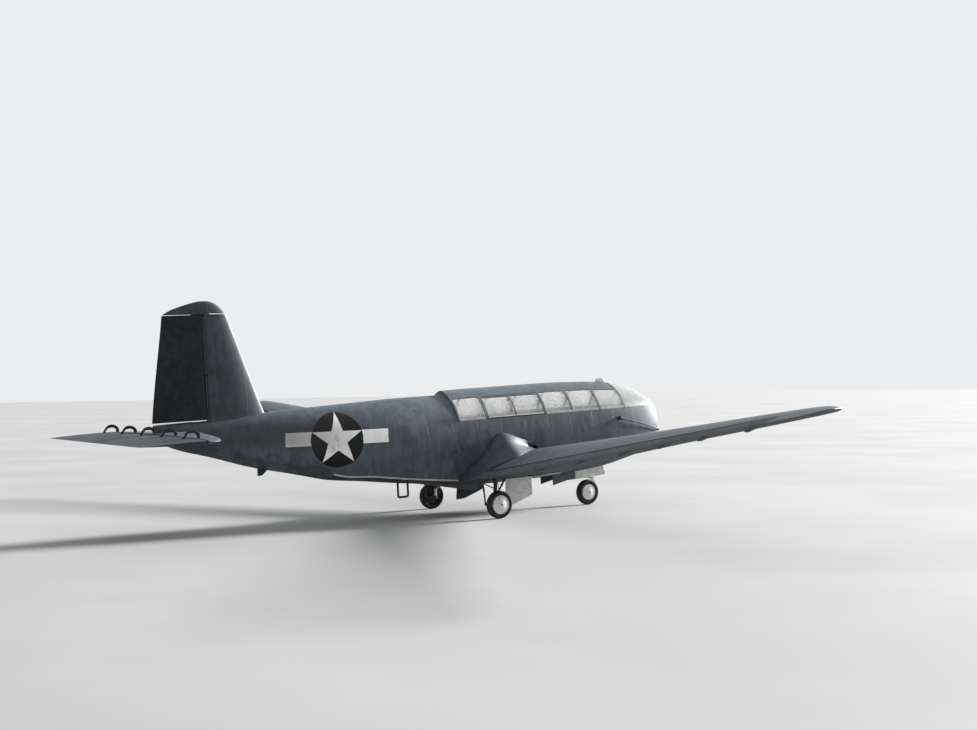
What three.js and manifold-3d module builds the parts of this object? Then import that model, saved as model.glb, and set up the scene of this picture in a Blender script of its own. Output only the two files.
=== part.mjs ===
// Amphibious transport sailplane of the 1940s: boat hull, glazed cabin, low cantilever wing, nose-wheel gear.
// Millimetres, +X to the nose, +Y to port, +Z up. The airframe is drawn level in its own frame, whose origin is
// on the floor under the main wheels, and is then turned nose up by ATTITUDE. The gear is drawn in floor axes.
import * as THREE from 'three';
import { mergeVertices } from 'three/addons/utils/BufferGeometryUtils.js';
import Module from 'manifold-3d';

const wasm = await Module();
wasm.setup();

// Driving dimensions
const ATTITUDE = THREE.MathUtils.degToRad(2.7);
const TOUCH = 0.4;                 // gap left between pieces that rest on each other
const CLEAR = 10;                  // gap left round a piece that moves

const SILL = 2050;                 // height of the cabin sill
const CABIN_REAR = -450;           // where the cabin ends and the aft hull begins
const CABIN_FRONT = 5080;
const HULL_WALL = 36;
const AFT_WALL = 28;
const AFT_HOLLOW_END = -5200;
const BULKHEAD_THICK = 30;
const FLOOR_TOP = 1000;
const FLOOR_THICK = 24;
const ARCH_POWER = 1.55;           // superellipse power of the canopy and turtle-deck arch

const ROOF_HALF = 370;             // half width of the opaque roof strip
const ROOF_THICK = 9;
const ROOF_FRONT = 4000;
const FRAME_DEPTH = 14;
const GLASS_THICK = 6;
const HOOP_WIDTH = 46;
const RIB_DEPTH = 30;              // hoops under the roof strip are this deep
const SILL_RAIL = 50;
const HOOPS = [-424, 270, 1820, 2550, 3310, 4040];
const WINDSHIELD_HOOP = 4600;
const HATCH_FROM = 270;
const HATCH_TO = 1820;
const HATCH_DIVIDER = 1040;
const HATCH_GAP = 7;
const HATCH_BORDER = 34;

const FLAP_SPAN = [1480, 4930];
const AILERON_SPAN = [4990, 10150];
const BRACKET_STATIONS = [3300, 4700, 6050, 7150, 8250, 9400];
const HINGE_SPAN = [1480, 10150];  // between these half spans the flap and aileron hinge line runs
const HINGE_X = [-215, -550];      // from the first of these x to the second
const NOSE_FIT = 0.94;             // nose radius of a control surface, as a share of half its thickness

const TRACK_HALF = 1405;
const WHEELBASE = 3350;
const TYRE_RADIUS = 290;
const TYRE_WIDTH = 168;
const RIM_RADIUS = 214;
const ROUND = 28;                  // segments round a wheel

const NOSE_TYRE_WIDTH = 150;
const SWIVEL_X = 3480;             // nose-wheel swivel axis
const LEG_Y = 1235;                // main leg, inboard of the wheel
const BAY_HALF = 222;              // nose-wheel bay
const DOOR_THICK = 16;

const RUDDER_GAP_X = -5710;
const RUDDER_HINGE_X = -5920;
const RUDDER_FOOT = 2438;
const RUDDER_HEAD = 4498;
const ELEVATOR_HINGE_X = -7030;
const ELEVATOR_HINGE_Z = 2272;
const ELEVATOR_GAP_X = -6830;
const TAIL_Z = 2190;               // mid height of the tailplane
const RUDDER_ARMS = [3310, 4478];
const ARM_STATIONS = [-2340, -1170, 0, 1170, 2340];
const ARM_HALF = 17;
const ARM_FOOT = 90;               // the arm's foot is this far ahead of the elevator's nose

// Outer skin of the hull, nose to tail. Heights and half widths at each station.
const HULL_COLUMNS = ['x', 'top', 'sillHalf', 'sill', 'maxHalf', 'maxAt', 'chineHalf', 'chine', 'keel'];
const HULL_TABLE = [
  [5300, 1800, 110, 1720, 130, 1630, 90, 1540, 1500],
  [5268, 1990, 300, 1830, 330, 1620, 240, 1390, 1330],
  [5150, 2150, 440, 1950, 490, 1620, 370, 1240, 1150],
  [4930, 2350, 550, 2050, 608, 1610, 470, 1110, 980],
  [4600, 2515, 620, 2050, 690, 1580, 540, 1000, 850],
  [4040, 2635, 675, 2050, 755, 1550, 600, 890, 730],
  [3310, 2690, 700, 2050, 790, 1520, 640, 790, 640],
  [2200, 2720, 700, 2050, 800, 1500, 660, 720, 590],
  [800, 2715, 700, 2050, 800, 1500, 660, 700, 590],
  [-450, 2700, 700, 2050, 800, 1500, 660, 790, 680],
  [-520, 2612, 700, 2050, 799, 1503, 659, 798, 688],
  [-1600, 2608, 700, 2050, 790, 1550, 645, 930, 815],
  [-2400, 2585, 655, 2030, 740, 1600, 610, 1050, 930],
  [-3340, 2555, 560, 1990, 620, 1650, 540, 1190, 1060],
  [-3370, 2554, 557, 1988, 616, 1652, 530, 1275, 1068],
  [-4000, 2538, 460, 1990, 500, 1720, 430, 1402, 1232],
  [-4900, 2484, 330, 2030, 365, 1850, 310, 1648, 1455],
  [-5700, 2432, 220, 2140, 250, 2010, 205, 1880, 1715],
  [-6300, 2420, 150, 2240, 170, 2130, 135, 2024, 1893],
  [-6795, 2410, 60, 2330, 70, 2270, 60, 2195, 2102],
];

// Wing sections from root to tip. Leading edge x, trailing edge x and z, half span, camber and thickness as
// shares of the chord, and incidence in degrees.
const WING_COLUMNS = ['span', 'lead', 'trail', 'trailZ', 'camber', 'thick', 'incidence'];
const WING_TABLE = [
  [640, 2300, -530, 745, 0.03, 0.215, 5.2],
  [900, 2250, -530, 785, 0.03, 0.21, 5.2],
  [3200, 1790, -600, 1143, 0.03, 0.19, 4.9],
  [7000, 1010, -735, 1728, 0.028, 0.155, 4.5],
  [10100, 360, -850, 2200, 0.025, 0.13, 4.0],
  [10650, 200, -860, 2290, 0.02, 0.115, 3.6],
  [10900, 10, -790, 2340, 0.01, 0.085, 3.0],
  [10975, -230, -600, 2372, 0.0, 0.06, 3.0],
];

// Bulge over the retracted wheel at the wing root: height of its ridge by the hull, and how far out it reaches.
const BULGE_COLUMNS = ['x', 'ridge', 'reach', 'foot'];
const BULGE_TABLE = [
  [1400, 1390, 870, 1330],
  [1000, 1600, 1140, 1310],
  [560, 1735, 1400, 1265],
  [480, 1725, 1410, 1240],
  [0, 1290, 1380, 1110],
  [-500, 880, 1300, 830],
];

const FIN_COLUMNS = ['z', 'lead', 'trail', 'half'];
const FIN_TABLE = [
  [2250, -4430, -6830, 112],
  [2452, -4508, -6812, 108],
  [4300, -5163, -6545, 66],
  [4480, -5228, -6518, 60],
  [4580, -5300, -6370, 53],
  [4670, -5400, -6110, 42],
  [4725, -5500, -5900, 26],
  [4752, -5600, -5760, 12],
];

const TAIL_COLUMNS = ['span', 'lead', 'trail', 'half'];
const TAIL_TABLE = [
  [0, -5850, -8010, 78],
  [2700, -6500, -8010, 42],
  [2880, -6600, -8000, 34],
  [2950, -6740, -7920, 22],
];

function rows(columns, table) {
  return table.map((row) => Object.fromEntries(row.map((value, i) => [columns[i], value])));
}

const hullStations = rows(HULL_COLUMNS, HULL_TABLE);
const wingStations = rows(WING_COLUMNS, WING_TABLE);
const bulgeStations = rows(BULGE_COLUMNS, BULGE_TABLE);
const finStations = rows(FIN_COLUMNS, FIN_TABLE);
const tailStations = rows(TAIL_COLUMNS, TAIL_TABLE);

// Solids

function toSolid(geometry) {
  const bare = geometry.clone();
  bare.deleteAttribute('normal');
  bare.deleteAttribute('uv');
  const merged = mergeVertices(bare, 1e-3);
  return new wasm.Manifold(new wasm.Mesh({
    numProp: 3,
    vertProperties: new Float32Array(merged.attributes.position.array),
    triVerts: new Uint32Array(merged.index.array),
  }));
}

function toGeometry(solid) {
  const mesh = solid.getMesh();
  const geometry = new THREE.BufferGeometry();
  geometry.setAttribute('position', new THREE.BufferAttribute(mesh.vertProperties, 3));
  geometry.setIndex(new THREE.BufferAttribute(mesh.triVerts, 1));
  return geometry;
}

// Skin through rings of equal length, each closed, with a fan of triangles over both ends. The diagonals of the
// second half of a ring mirror those of the first.
function loft(rings) {
  const count = rings[0].length;
  const points = rings.flat();
  const index = [];
  for (let r = 0; r + 1 < rings.length; r++) {
    for (let i = 0; i < count; i++) {
      const a = r * count + i;
      const b = r * count + (i + 1) % count;
      index.push(...(i < count / 2
        ? [a, b, b + count, a, b + count, a + count]
        : [a, b, a + count, b, b + count, a + count]));
    }
  }
  for (const end of [0, rings.length - 1]) {
    const centre = [0, 1, 2].map((axis) => rings[end].reduce((sum, p) => sum + p[axis], 0) / count);
    const hub = points.push(centre) - 1;
    for (let i = 0; i < count; i++) {
      const a = end * count + i;
      const b = end * count + (i + 1) % count;
      index.push(...(end === 0 ? [hub, b, a] : [hub, a, b]));
    }
  }
  const geometry = new THREE.BufferGeometry();
  geometry.setAttribute('position', new THREE.Float32BufferAttribute(points.flat(), 3));
  geometry.setIndex(signedVolume(points, index) < 0 ? index.reverse() : index);
  return toSolid(geometry);
}

function signedVolume(points, index) {
  let volume = 0;
  for (let i = 0; i < index.length; i += 3) {
    const [a, b, c] = [0, 1, 2].map((k) => new THREE.Vector3(...points[index[i + k]]));
    volume += a.dot(b.cross(c)) / 6;
  }
  return volume;
}

function block(x, y, z) {
  const geometry = new THREE.BoxGeometry(x[1] - x[0], y[1] - y[0], z[1] - z[0]);
  geometry.translate((x[0] + x[1]) / 2, (y[0] + y[1]) / 2, (z[0] + z[1]) / 2);
  return toSolid(geometry);
}

function rod(from, to, radiusFrom, radiusTo = radiusFrom, sides = 12) {
  const start = new THREE.Vector3(...from);
  const along = new THREE.Vector3(...to).sub(start);
  const geometry = new THREE.CylinderGeometry(radiusTo, radiusFrom, along.length(), sides);
  geometry.translate(0, along.length() / 2, 0);
  geometry.applyQuaternion(new THREE.Quaternion().setFromUnitVectors(
    new THREE.Vector3(0, 1, 0), along.clone().normalize()));
  geometry.translate(start.x, start.y, start.z);
  return toSolid(geometry);
}

// A flat outline of [x, z] points, extruded across y.
function plate(outline, yFrom, yTo) {
  const shape = new THREE.Shape(outline.map(([x, z]) => new THREE.Vector2(x, z)));
  const geometry = new THREE.ExtrudeGeometry(shape, { depth: yTo - yFrom, bevelEnabled: false });
  geometry.rotateX(Math.PI / 2);
  geometry.translate(0, yTo, 0);
  return toSolid(geometry);
}

// A closed profile of [radius, y] points turned about the y axis.
function turned(profile, segments) {
  return toSolid(new THREE.LatheGeometry(profile.map(([r, y]) => new THREE.Vector2(r, y)), segments));
}

const union = (...solids) => solids.reduce((sum, next) => sum.add(next));
const shifted = (solid, x, y, z) => solid.translate([x, y, z]);
const mirrored = (solid) => solid.mirror([0, 1, 0]);

// Hull skin

const lerp = THREE.MathUtils.lerp;

function bend(from, pull, to, steps) {
  return Array.from({ length: steps }, (_, i) => {
    const t = (i + 1) / (steps + 1);
    return [0, 1].map((k) => (1 - t) ** 2 * from[k] + 2 * t * (1 - t) * pull[k] + t * t * to[k]);
  });
}

// Half section from keel to crown as [y, z], grown outwards by grow.
function hullHalf(s, grow) {
  const chine = [s.chineHalf + grow, s.chine - grow * 0.3];
  const widest = [s.maxHalf + grow, s.maxAt];
  const sill = [s.sillHalf + grow, s.sill];
  const rise = s.top + grow - s.sill;
  const steps = 6;
  const arch = Array.from({ length: steps }, (_, i) => {
    const angle = ((i + 1) / steps) * Math.PI / 2;
    return [sill[0] * Math.cos(angle) ** (2 / ARCH_POWER), s.sill + rise * Math.sin(angle) ** (2 / ARCH_POWER)];
  });
  arch[steps - 1][0] = 0;
  return [
    [0, s.keel - grow], chine,
    ...bend(chine, [widest[0], lerp(chine[1], widest[1], 0.55)], widest, 2), widest,
    ...bend(widest, [widest[0] * 0.995, lerp(widest[1], sill[1], 0.45)], sill, 1), sill,
    ...arch,
  ];
}

function hullRing(s, grow) {
  const half = hullHalf(s, grow);
  const port = half.map(([y, z]) => [s.x, y, z]);
  const starboard = half.slice(1, -1).reverse().map(([y, z]) => [s.x, -y, z]);
  return [...port, ...starboard];
}

function hullBody(grow) {
  const rings = hullStations.map((s) => hullRing(s, grow));
  rings[0].forEach((p) => { p[0] += grow; });
  rings[rings.length - 1].forEach((p) => { p[0] -= grow; });
  return loft(rings);
}

const FAR = 12000;
const span = [-FAR, FAR];
const hullOuter = hullBody(0);
const hullFit = hullBody(TOUCH);
const slab = (from, to) => block([from, to], span, [0, FAR]);

// Cabin, below and above the sill

function hullCabin() {
  const inner = hullBody(-HULL_WALL)
    .intersect(block([CABIN_REAR - 100, CABIN_FRONT], span, [FLOOR_TOP - FLOOR_THICK - TOUCH, FAR]));
  return hullOuter.intersect(block([CABIN_REAR + TOUCH, FAR], span, [0, SILL]))
    .subtract(inner)
    .subtract(noseBay());
}

function noseBay() {
  return block([2250, 3760], [-BAY_HALF, BAY_HALF], [0, FLOOR_TOP - 50]);
}

function cabinFloor() {
  return hullBody(-HULL_WALL - TOUCH)
    .intersect(block([CABIN_REAR + 10, 4450], span, [FLOOR_TOP - FLOOR_THICK, FLOOR_TOP]));
}

// Layer of the canopy arch between two depths below the outer skin.
function layer(from, to) {
  return hullBody(-from).subtract(hullBody(-to))
    .intersect(block([CABIN_REAR + TOUCH, CABIN_FRONT + 400], span, [SILL + TOUCH, FAR]));
}

const beside = (inner) => union(
  block([-FAR, FAR], [inner, FAR], [0, FAR]),
  block([-FAR, FAR], [-FAR, -inner], [0, FAR]));
const within = (half) => block([-FAR, FAR], [-half, half], [2300, FAR]);

function canopyRoof() {
  return layer(0, ROOF_THICK).intersect(within(ROOF_HALF)).intersect(slab(CABIN_REAR, ROOF_FRONT));
}

function hatchRegion(inset) {
  return union(...[1, -1].map((side) => {
    const y = [side * (ROOF_HALF + 25 + inset), side * FAR].sort((a, b) => a - b);
    return block([HATCH_FROM + HOOP_WIDTH / 2 + inset, HATCH_TO - HOOP_WIDTH / 2 - inset], y,
      [SILL + TOUCH + inset, FAR]);
  }));
}

function canopyFrames() {
  const hoops = union(...[...HOOPS, WINDSHIELD_HOOP].map((x) => slab(x - HOOP_WIDTH / 2, x + HOOP_WIDTH / 2)));
  const sills = block([-FAR, FAR], span, [SILL, SILL + SILL_RAIL]);
  const rails = beside(ROOF_HALF - 25).subtract(beside(ROOF_HALF + 25))
    .intersect(block([CABIN_REAR, ROOF_FRONT + 30], span, [2300, FAR]));
  const post = block([ROOF_FRONT, FAR], [-22, 22], [0, FAR]);
  const outer = layer(0, FRAME_DEPTH).intersect(union(hoops, sills, rails, post)).subtract(hatchRegion(0));
  const ribs = layer(ROOF_THICK + TOUCH, RIB_DEPTH).intersect(hoops).intersect(within(ROOF_HALF - 30))
    .intersect(slab(CABIN_REAR, ROOF_FRONT));
  const roofGap = layer(-2, ROOF_THICK + TOUCH).intersect(within(ROOF_HALF + TOUCH))
    .intersect(slab(CABIN_REAR - 10, ROOF_FRONT + TOUCH));
  return union(outer, ribs).subtract(roofGap);
}

const glassLayer = () => layer(FRAME_DEPTH + TOUCH, FRAME_DEPTH + TOUCH + GLASS_THICK);

function sideGlass(from, to) {
  return glassLayer().intersect(beside(ROOF_HALF - 20)).intersect(slab(from, to));
}

function windshield(glass) {
  return glass.intersect(slab(HOOPS[5] + 4, FAR));
}

function hatch() {
  const opening = union(
    slab(HATCH_FROM + HOOP_WIDTH / 2 + HATCH_GAP + HATCH_BORDER, HATCH_DIVIDER - 11),
    slab(HATCH_DIVIDER + 11, HATCH_TO - HOOP_WIDTH / 2 - HATCH_GAP - HATCH_BORDER))
    .intersect(block([-FAR, FAR], [-FAR, -ROOF_HALF - 25 - HATCH_GAP - HATCH_BORDER],
      [SILL + HATCH_GAP + SILL_RAIL, FAR]));
  return layer(0, FRAME_DEPTH).intersect(hatchRegion(HATCH_GAP)).intersect(block([-FAR, FAR], [-FAR, 0], [0, FAR]))
    .subtract(opening);
}

function hatchGlass() {
  return glassLayer().intersect(hatchRegion(HATCH_GAP + 4)).intersect(block([-FAR, FAR], [-FAR, 0], [0, FAR]));
}

// Aft hull

// Room for the tailplane and for the foot of its middle arm.
function tailSlot() {
  const arm = block([-FAR, ELEVATOR_GAP_X + ARM_FOOT + TOUCH], [-ARM_HALF - TOUCH, ARM_HALF + TOUCH],
    [ELEVATOR_HINGE_Z - 60 - TOUCH, ELEVATOR_HINGE_Z + 130]);
  return union(tailBody(TOUCH).intersect(block([-FAR, 0], [-900, 900], [0, FAR])), arm);
}

// A shell back to the fin, and solid behind, where the tail is mounted.
function hullAft() {
  const hollow = hullBody(-AFT_WALL).intersect(slab(AFT_HOLLOW_END, FAR));
  return hullOuter.intersect(block([-FAR, CABIN_REAR], span, [0, FAR]))
    .subtract(hollow)
    .subtract(tailSlot())
    .subtract(finBody(TOUCH));
}

function rearBulkhead() {
  return hullBody(-AFT_WALL - TOUCH).intersect(slab(CABIN_REAR - BULKHEAD_THICK, CABIN_REAR));
}

// Cabin fittings

function pilotSeats() {
  const platform = block([3150, 3650], [-520, 520], [FLOOR_TOP + TOUCH, FLOOR_TOP + 40]);
  const seats = [-290, 290].flatMap((y) => [
    block([3180, 3600], [y - 200, y + 200], [FLOOR_TOP + 40, FLOOR_TOP + 330]),
    plate([[3180, FLOOR_TOP + 300], [3270, FLOOR_TOP + 300], [3160, FLOOR_TOP + 850], [3090, FLOOR_TOP + 850]],
      y - 200, y + 200),
  ]);
  return union(platform, ...seats);
}

function troopBench(side) {
  const outline = [[0, 0], [420, 0], [420, 400], [360, 430], [60, 430], [0, 860], [-40, 860], [-40, 430]];
  const bench = plate(outline.map(([across, up]) => [across, FLOOR_TOP + TOUCH + up]), -200, 2700);
  const turnedRound = bench.transform(new THREE.Matrix4().makeBasis(
    new THREE.Vector3(0, side * -1, 0), new THREE.Vector3(1, 0, 0), new THREE.Vector3(0, 0, 1)).elements);
  return shifted(turnedRound, 0, side * 640, 0).intersect(hullBody(-HULL_WALL - 8));
}

function instrumentPanel() {
  return hullBody(-HULL_WALL - TOUCH).intersect(block([4480, 4520], span, [1380, SILL - 20]));
}

function controlColumns() {
  const columns = [-290, 290].flatMap((y) => [
    rod([4000, y, FLOOR_TOP + 60], [3900, y, FLOOR_TOP + 620], 20, 20, 6),
    rod([3900, y - 150, FLOOR_TOP + 610], [3900, y + 150, FLOOR_TOP + 610], 16, 16, 6),
  ]);
  return union(block([3960, 4040], [-340, 340], [FLOOR_TOP + TOUCH, FLOOR_TOP + 70]), ...columns);
}

function roofVent() {
  const scoop = plate([[3780, 2640], [3980, 2600], [3980, 2655], [3955, 2722], [3870, 2745], [3780, 2705]], -55, 55);
  return scoop.subtract(hullFit);
}

function towBridle() {
  const route = [[3835, 772, 1820], [4200, 762, 1728], [4600, 722, 1622], [4930, 645, 1525], [5150, 525, 1470],
    [5268, 370, 1438], [5320, 190, 1425], [5334, 0, 1422]];
  const whole = [...route, ...route.slice(0, -1).reverse().map(([x, y, z]) => [x, -y, z])];
  const path = new THREE.CatmullRomCurve3(whole.map((p) => new THREE.Vector3(...p)));
  const ring = new THREE.Shape(new THREE.Path().absarc(0, 0, 15, 0, Math.PI * 2).getPoints(6).slice(0, 6));
  const cable = toSolid(new THREE.ExtrudeGeometry(ring, { steps: 26, extrudePath: path, bevelEnabled: false }));
  const lugs = [-1, 1].map((side) => rod([3820, side * 700, 1822], [3820, side * 812, 1822], 42, 38, 12));
  return union(cable, ...lugs).subtract(hullFit);
}

// Aerofoil of camber m and thickness t as [share of chord from the nose, height share], once round.
function aerofoil(m, t) {
  const steps = 11;
  const side = (sign) => Array.from({ length: steps + 1 }, (_, i) => {
    const u = (1 - Math.cos(Math.PI * i / steps)) / 2;
    const half = 5 * t * (0.2969 * Math.sqrt(u) - 0.126 * u - 0.3516 * u ** 2 + 0.2843 * u ** 3 - 0.1015 * u ** 4);
    const mean = u < 0.4 ? m / 0.16 * (0.8 * u - u * u) : m / 0.36 * (0.2 + 0.8 * u - u * u);
    return [u, mean + sign * Math.max(half, 0.0016)];
  });
  return [...side(1), ...side(-1).slice(1).reverse()];
}

function wingRing(s) {
  const chord = s.lead - s.trail;
  const slope = Math.tan(THREE.MathUtils.degToRad(s.incidence));
  return aerofoil(s.camber, s.thick).map(([u, h]) => [
    s.lead - u * chord, -s.span, s.trailZ + (1 - u) * chord * slope + h * chord,
  ]);
}

function bulge() {
  return loft(bulgeStations.map((s) => [
    [s.x, -500, s.foot - 60], [s.x, -500, s.ridge],
    [s.x, -820, s.ridge], [s.x, -900, s.ridge - (s.ridge - s.foot) * 0.08],
    [s.x, -lerp(820, s.reach, 0.55), lerp(s.ridge, s.foot, 0.45)],
    [s.x, -s.reach, s.foot], [s.x, -s.reach, s.foot - 60],
  ]));
}

// Linear look-up of a wing station at a half span.
function wingAt(half) {
  const i = Math.max(wingStations.findIndex((s) => s.span >= half), 1);
  const [a, b] = [wingStations[i - 1], wingStations[i]];
  const t = (half - a.span) / (b.span - a.span);
  return Object.fromEntries(WING_COLUMNS.map((key) => [key, lerp(a[key], b[key], t)]));
}

// Mid height and half thickness of the wing at a station and x.
function wingCore(half, x) {
  const s = wingAt(half);
  const chord = s.lead - s.trail;
  const ring = aerofoil(s.camber, s.thick);
  const u = (s.lead - x) / chord;
  const slope = Math.tan(THREE.MathUtils.degToRad(s.incidence));
  const side = ring.slice(0, 12);
  const under = ring.slice(12).reverse();
  under.unshift(side[0]);
  const height = (points) => {
    const k = Math.max(points.findIndex((p) => p[0] >= u), 1);
    const [p, q] = [points[k - 1], points[Math.min(k, points.length - 1)]];
    return lerp(p[1], q[1], (u - p[0]) / (q[0] - p[0] || 1));
  };
  const [above, below] = [height(side), height(under)];
  return {
    z: s.trailZ + (1 - u) * chord * slope + (above + below) / 2 * chord,
    half: (above - below) / 2 * chord,
  };
}

// Frame on a hinge line: y runs from its inner to its outer end, x forward.
function hingeFrame(from, to) {
  const start = new THREE.Vector3(...from);
  const y = new THREE.Vector3(...to).sub(start);
  const length = y.length();
  y.normalize();
  const x = new THREE.Vector3(1, 0, 0).addScaledVector(y, -y.x).normalize();
  const z = new THREE.Vector3().crossVectors(x, y);
  const matrix = new THREE.Matrix4().makeBasis(x, y, z).setPosition(start);
  return { length, place: (solid) => solid.transform(matrix.elements) };
}

function hingeX(half) {
  return lerp(HINGE_X[0], HINGE_X[1], (half - HINGE_SPAN[0]) / (HINGE_SPAN[1] - HINGE_SPAN[0]));
}

function wingSurface(spanRange) {
  const ends = spanRange.map((half) => {
    const core = wingCore(half, hingeX(half));
    return { point: [hingeX(half), -half, core.z], radius: core.half * NOSE_FIT };
  });
  const frame = hingeFrame(ends[0].point, ends[1].point);
  const part = (grow, endGap) => frame.place(union(
    rod([0, -endGap, 0], [0, frame.length + endGap, 0], ends[0].radius + grow, ends[1].radius + grow, 20),
    block([-1200, 0], [-endGap, frame.length + endGap], [-600, 600])));
  return { body: part(0, 0), cut: part(CLEAR, CLEAR), ends };
}

const wingWhole = loft(wingStations.map(wingRing));
const flapCut = wingSurface(FLAP_SPAN);
const aileronCut = wingSurface(AILERON_SPAN);

function wheelBay() {
  return plate([[-330, 0], [-330, 770], [250, 1020], [420, 1080], [1120, 1080], [1120, 0]], -1560, -1010);
}

function wing() {
  return union(wingWhole, bulge()).subtract(hullFit).subtract(flapCut.cut).subtract(aileronCut.cut)
    .subtract(wheelBay())
    .add(hingeBrackets());
}

// Streamlined brackets under the wing that carry the flap and aileron hinges.
function hingeBrackets() {
  return union(...BRACKET_STATIONS.map((half) => {
    const x = hingeX(half);
    const core = wingCore(half, x);
    const low = core.z - core.half;
    return plate([[x + 300, low + 5], [x + 60, low - 60], [x - 15, low - 60],
      [x - 15, low - 38], [x + 90, low - 14], [x + 130, low + 40], [x + 290, low + 40]],
    -half - 12, -half + 12);
  }));
}

// Tail

function thinRing(lead, trail, half, place) {
  return aerofoil(0, 1).map(([u, h]) => place(lead - u * (lead - trail), h * 2 * half));
}

function finBody(grow) {
  return loft(finStations.map((s) => thinRing(s.lead + grow, s.trail - grow, s.half + grow,
    (x, y) => [x, y, s.z])));
}

function tailBody(grow) {
  const stations = [...tailStations.slice(1).reverse().map((s) => ({ ...s, span: -s.span })), ...tailStations];
  return loft(stations.map((s) => thinRing(s.lead + grow, s.trail - grow, s.half + grow,
    (x, z) => [x, s.span, TAIL_Z + z])));
}

const rudderGap = 16;
const rudderNose = -RUDDER_HINGE_X + RUDDER_GAP_X;

function fin() {
  const front = finBody(0).subtract(hullBelowFin())
    .subtract(block([-FAR, RUDDER_GAP_X + rudderGap], span, [0, RUDDER_HEAD]));
  return union(front, ...rudderArms());
}

function hullBelowFin() {
  return block([-FAR, FAR], span, [0, 2330]);
}

function rudderArms() {
  return RUDDER_ARMS.map((z) => plate([[RUDDER_GAP_X + 150, z - 18], [RUDDER_GAP_X + 150, z + 18],
    [RUDDER_HINGE_X - 22, z + 18], [RUDDER_HINGE_X - 22, z - 18]], -16, 16));
}

function rudder() {
  const nose = rod([RUDDER_GAP_X - rudderNose * 0.35, 0, RUDDER_FOOT], [RUDDER_GAP_X - rudderNose * 0.35, 0,
    RUDDER_HEAD], rudderNose * 0.35, rudderNose * 0.33, 16);
  const aft = block([-FAR, RUDDER_GAP_X - rudderNose * 0.35], span, [0, FAR]);
  const slots = RUDDER_ARMS.map((z) => block([RUDDER_HINGE_X - 45, RUDDER_GAP_X + 60], span, [z - 30, z + 30]));
  return finBody(0).intersect(union(nose, aft)).intersect(block([-FAR, FAR], span,
    [RUDDER_FOOT + 8, RUDDER_HEAD - CLEAR])).subtract(union(...slots));
}

const TAIL_GAP = 26;

function tailplane() {
  const front = tailBody(0).subtract(block([-FAR, ELEVATOR_GAP_X + TAIL_GAP], span, [0, FAR]));
  return union(front, ...ARM_STATIONS.map(elevatorArm));
}

// Arched arm that carries the elevator hinge over the elevator's nose.
function elevatorArm(y) {
  const rise = [[ELEVATOR_GAP_X + ARM_FOOT, -60], [ELEVATOR_GAP_X + ARM_FOOT, 20], [ELEVATOR_GAP_X + 30, 100],
    [ELEVATOR_GAP_X - 60, 128], [ELEVATOR_HINGE_X + 60, 104], [ELEVATOR_HINGE_X - 14, 14], [ELEVATOR_HINGE_X - 12, -4],
    [ELEVATOR_HINGE_X + 8, -8], [ELEVATOR_HINGE_X + 30, 14], [ELEVATOR_HINGE_X + 74, 56],
    [ELEVATOR_GAP_X - 66, 64], [ELEVATOR_GAP_X + 10, 46], [ELEVATOR_GAP_X + 34, 2], [ELEVATOR_GAP_X + 34, -60]];
  return plate(rise.map(([x, z]) => [x, ELEVATOR_HINGE_Z + z]), y - ARM_HALF, y + ARM_HALF);
}

function elevator() {
  const round = 55;
  const nose = rod([ELEVATOR_GAP_X - round, -FAR, TAIL_Z], [ELEVATOR_GAP_X - round, FAR, TAIL_Z], round, round, 16);
  const aft = block([-FAR, ELEVATOR_GAP_X - round], span, [0, FAR]);
  return union(tailBody(0).intersect(union(nose, aft)), ...ARM_STATIONS.map(elevatorLug));
}

// Lug beside each arm, from the elevator's skin up to the hinge pin.
function elevatorLug(y) {
  const outline = [[44, -82], [14, 14], [-14, 14], [-44, -82]];
  return plate(outline.map(([x, z]) => [ELEVATOR_HINGE_X + x, ELEVATOR_HINGE_Z + z]), y + 23, y + 35);
}

function tailBumper() {
  return plate([[-4735, 1560], [-4735, 1260], [-4650, 1262], [-4530, 1365], [-4420, 1420], [-4420, 1500]], -16, 16)
    .subtract(hullFit);
}

function boardingStep() {
  const bar = 18;
  const y = -500;
  const foot = 574;
  return union(
    rod([-1874, y, 1000], [-1874, y, foot], bar, bar, 6), rod([-1641, y, 1000], [-1641, y, foot], bar, bar, 6),
    rod([-1874 - bar, y, foot], [-1641 + bar, y, foot], bar, bar, 6)).subtract(hullFit);
}

// Gear, in floor axes

function wheelAt(x, y, outboard) {
  const turn = new THREE.Matrix4().makeRotationZ(outboard < 0 ? Math.PI : 0).setPosition(x, y, TYRE_RADIUS);
  return (solid) => solid.transform(turn.elements);
}

function tyre(width) {
  const h = width / 2;
  const [inner, outer] = [RIM_RADIUS + TOUCH, TYRE_RADIUS];
  return turned([
    [inner, -h * 0.85], [inner + 30, -h], [outer - 24, -h * 0.88], [outer, -h * 0.45],
    [outer, h * 0.45], [outer - 24, h * 0.88], [inner + 30, h], [inner, h * 0.85], [inner, -h * 0.85],
  ], ROUND);
}

// Wheel disc with a domed outboard cover and a blind bore on the inboard side.
function hub(width) {
  const h = width / 2;
  const bore = 24;
  return turned([[0, h * 0.2], [bore, h * 0.2], [bore, -h - 12], [66, -h - 12], [RIM_RADIUS - 34, -h * 0.45],
    [RIM_RADIUS, -h * 0.7], [RIM_RADIUS, h * 0.78], [150, h * 1.08], [0, h * 1.28]], ROUND);
}

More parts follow.
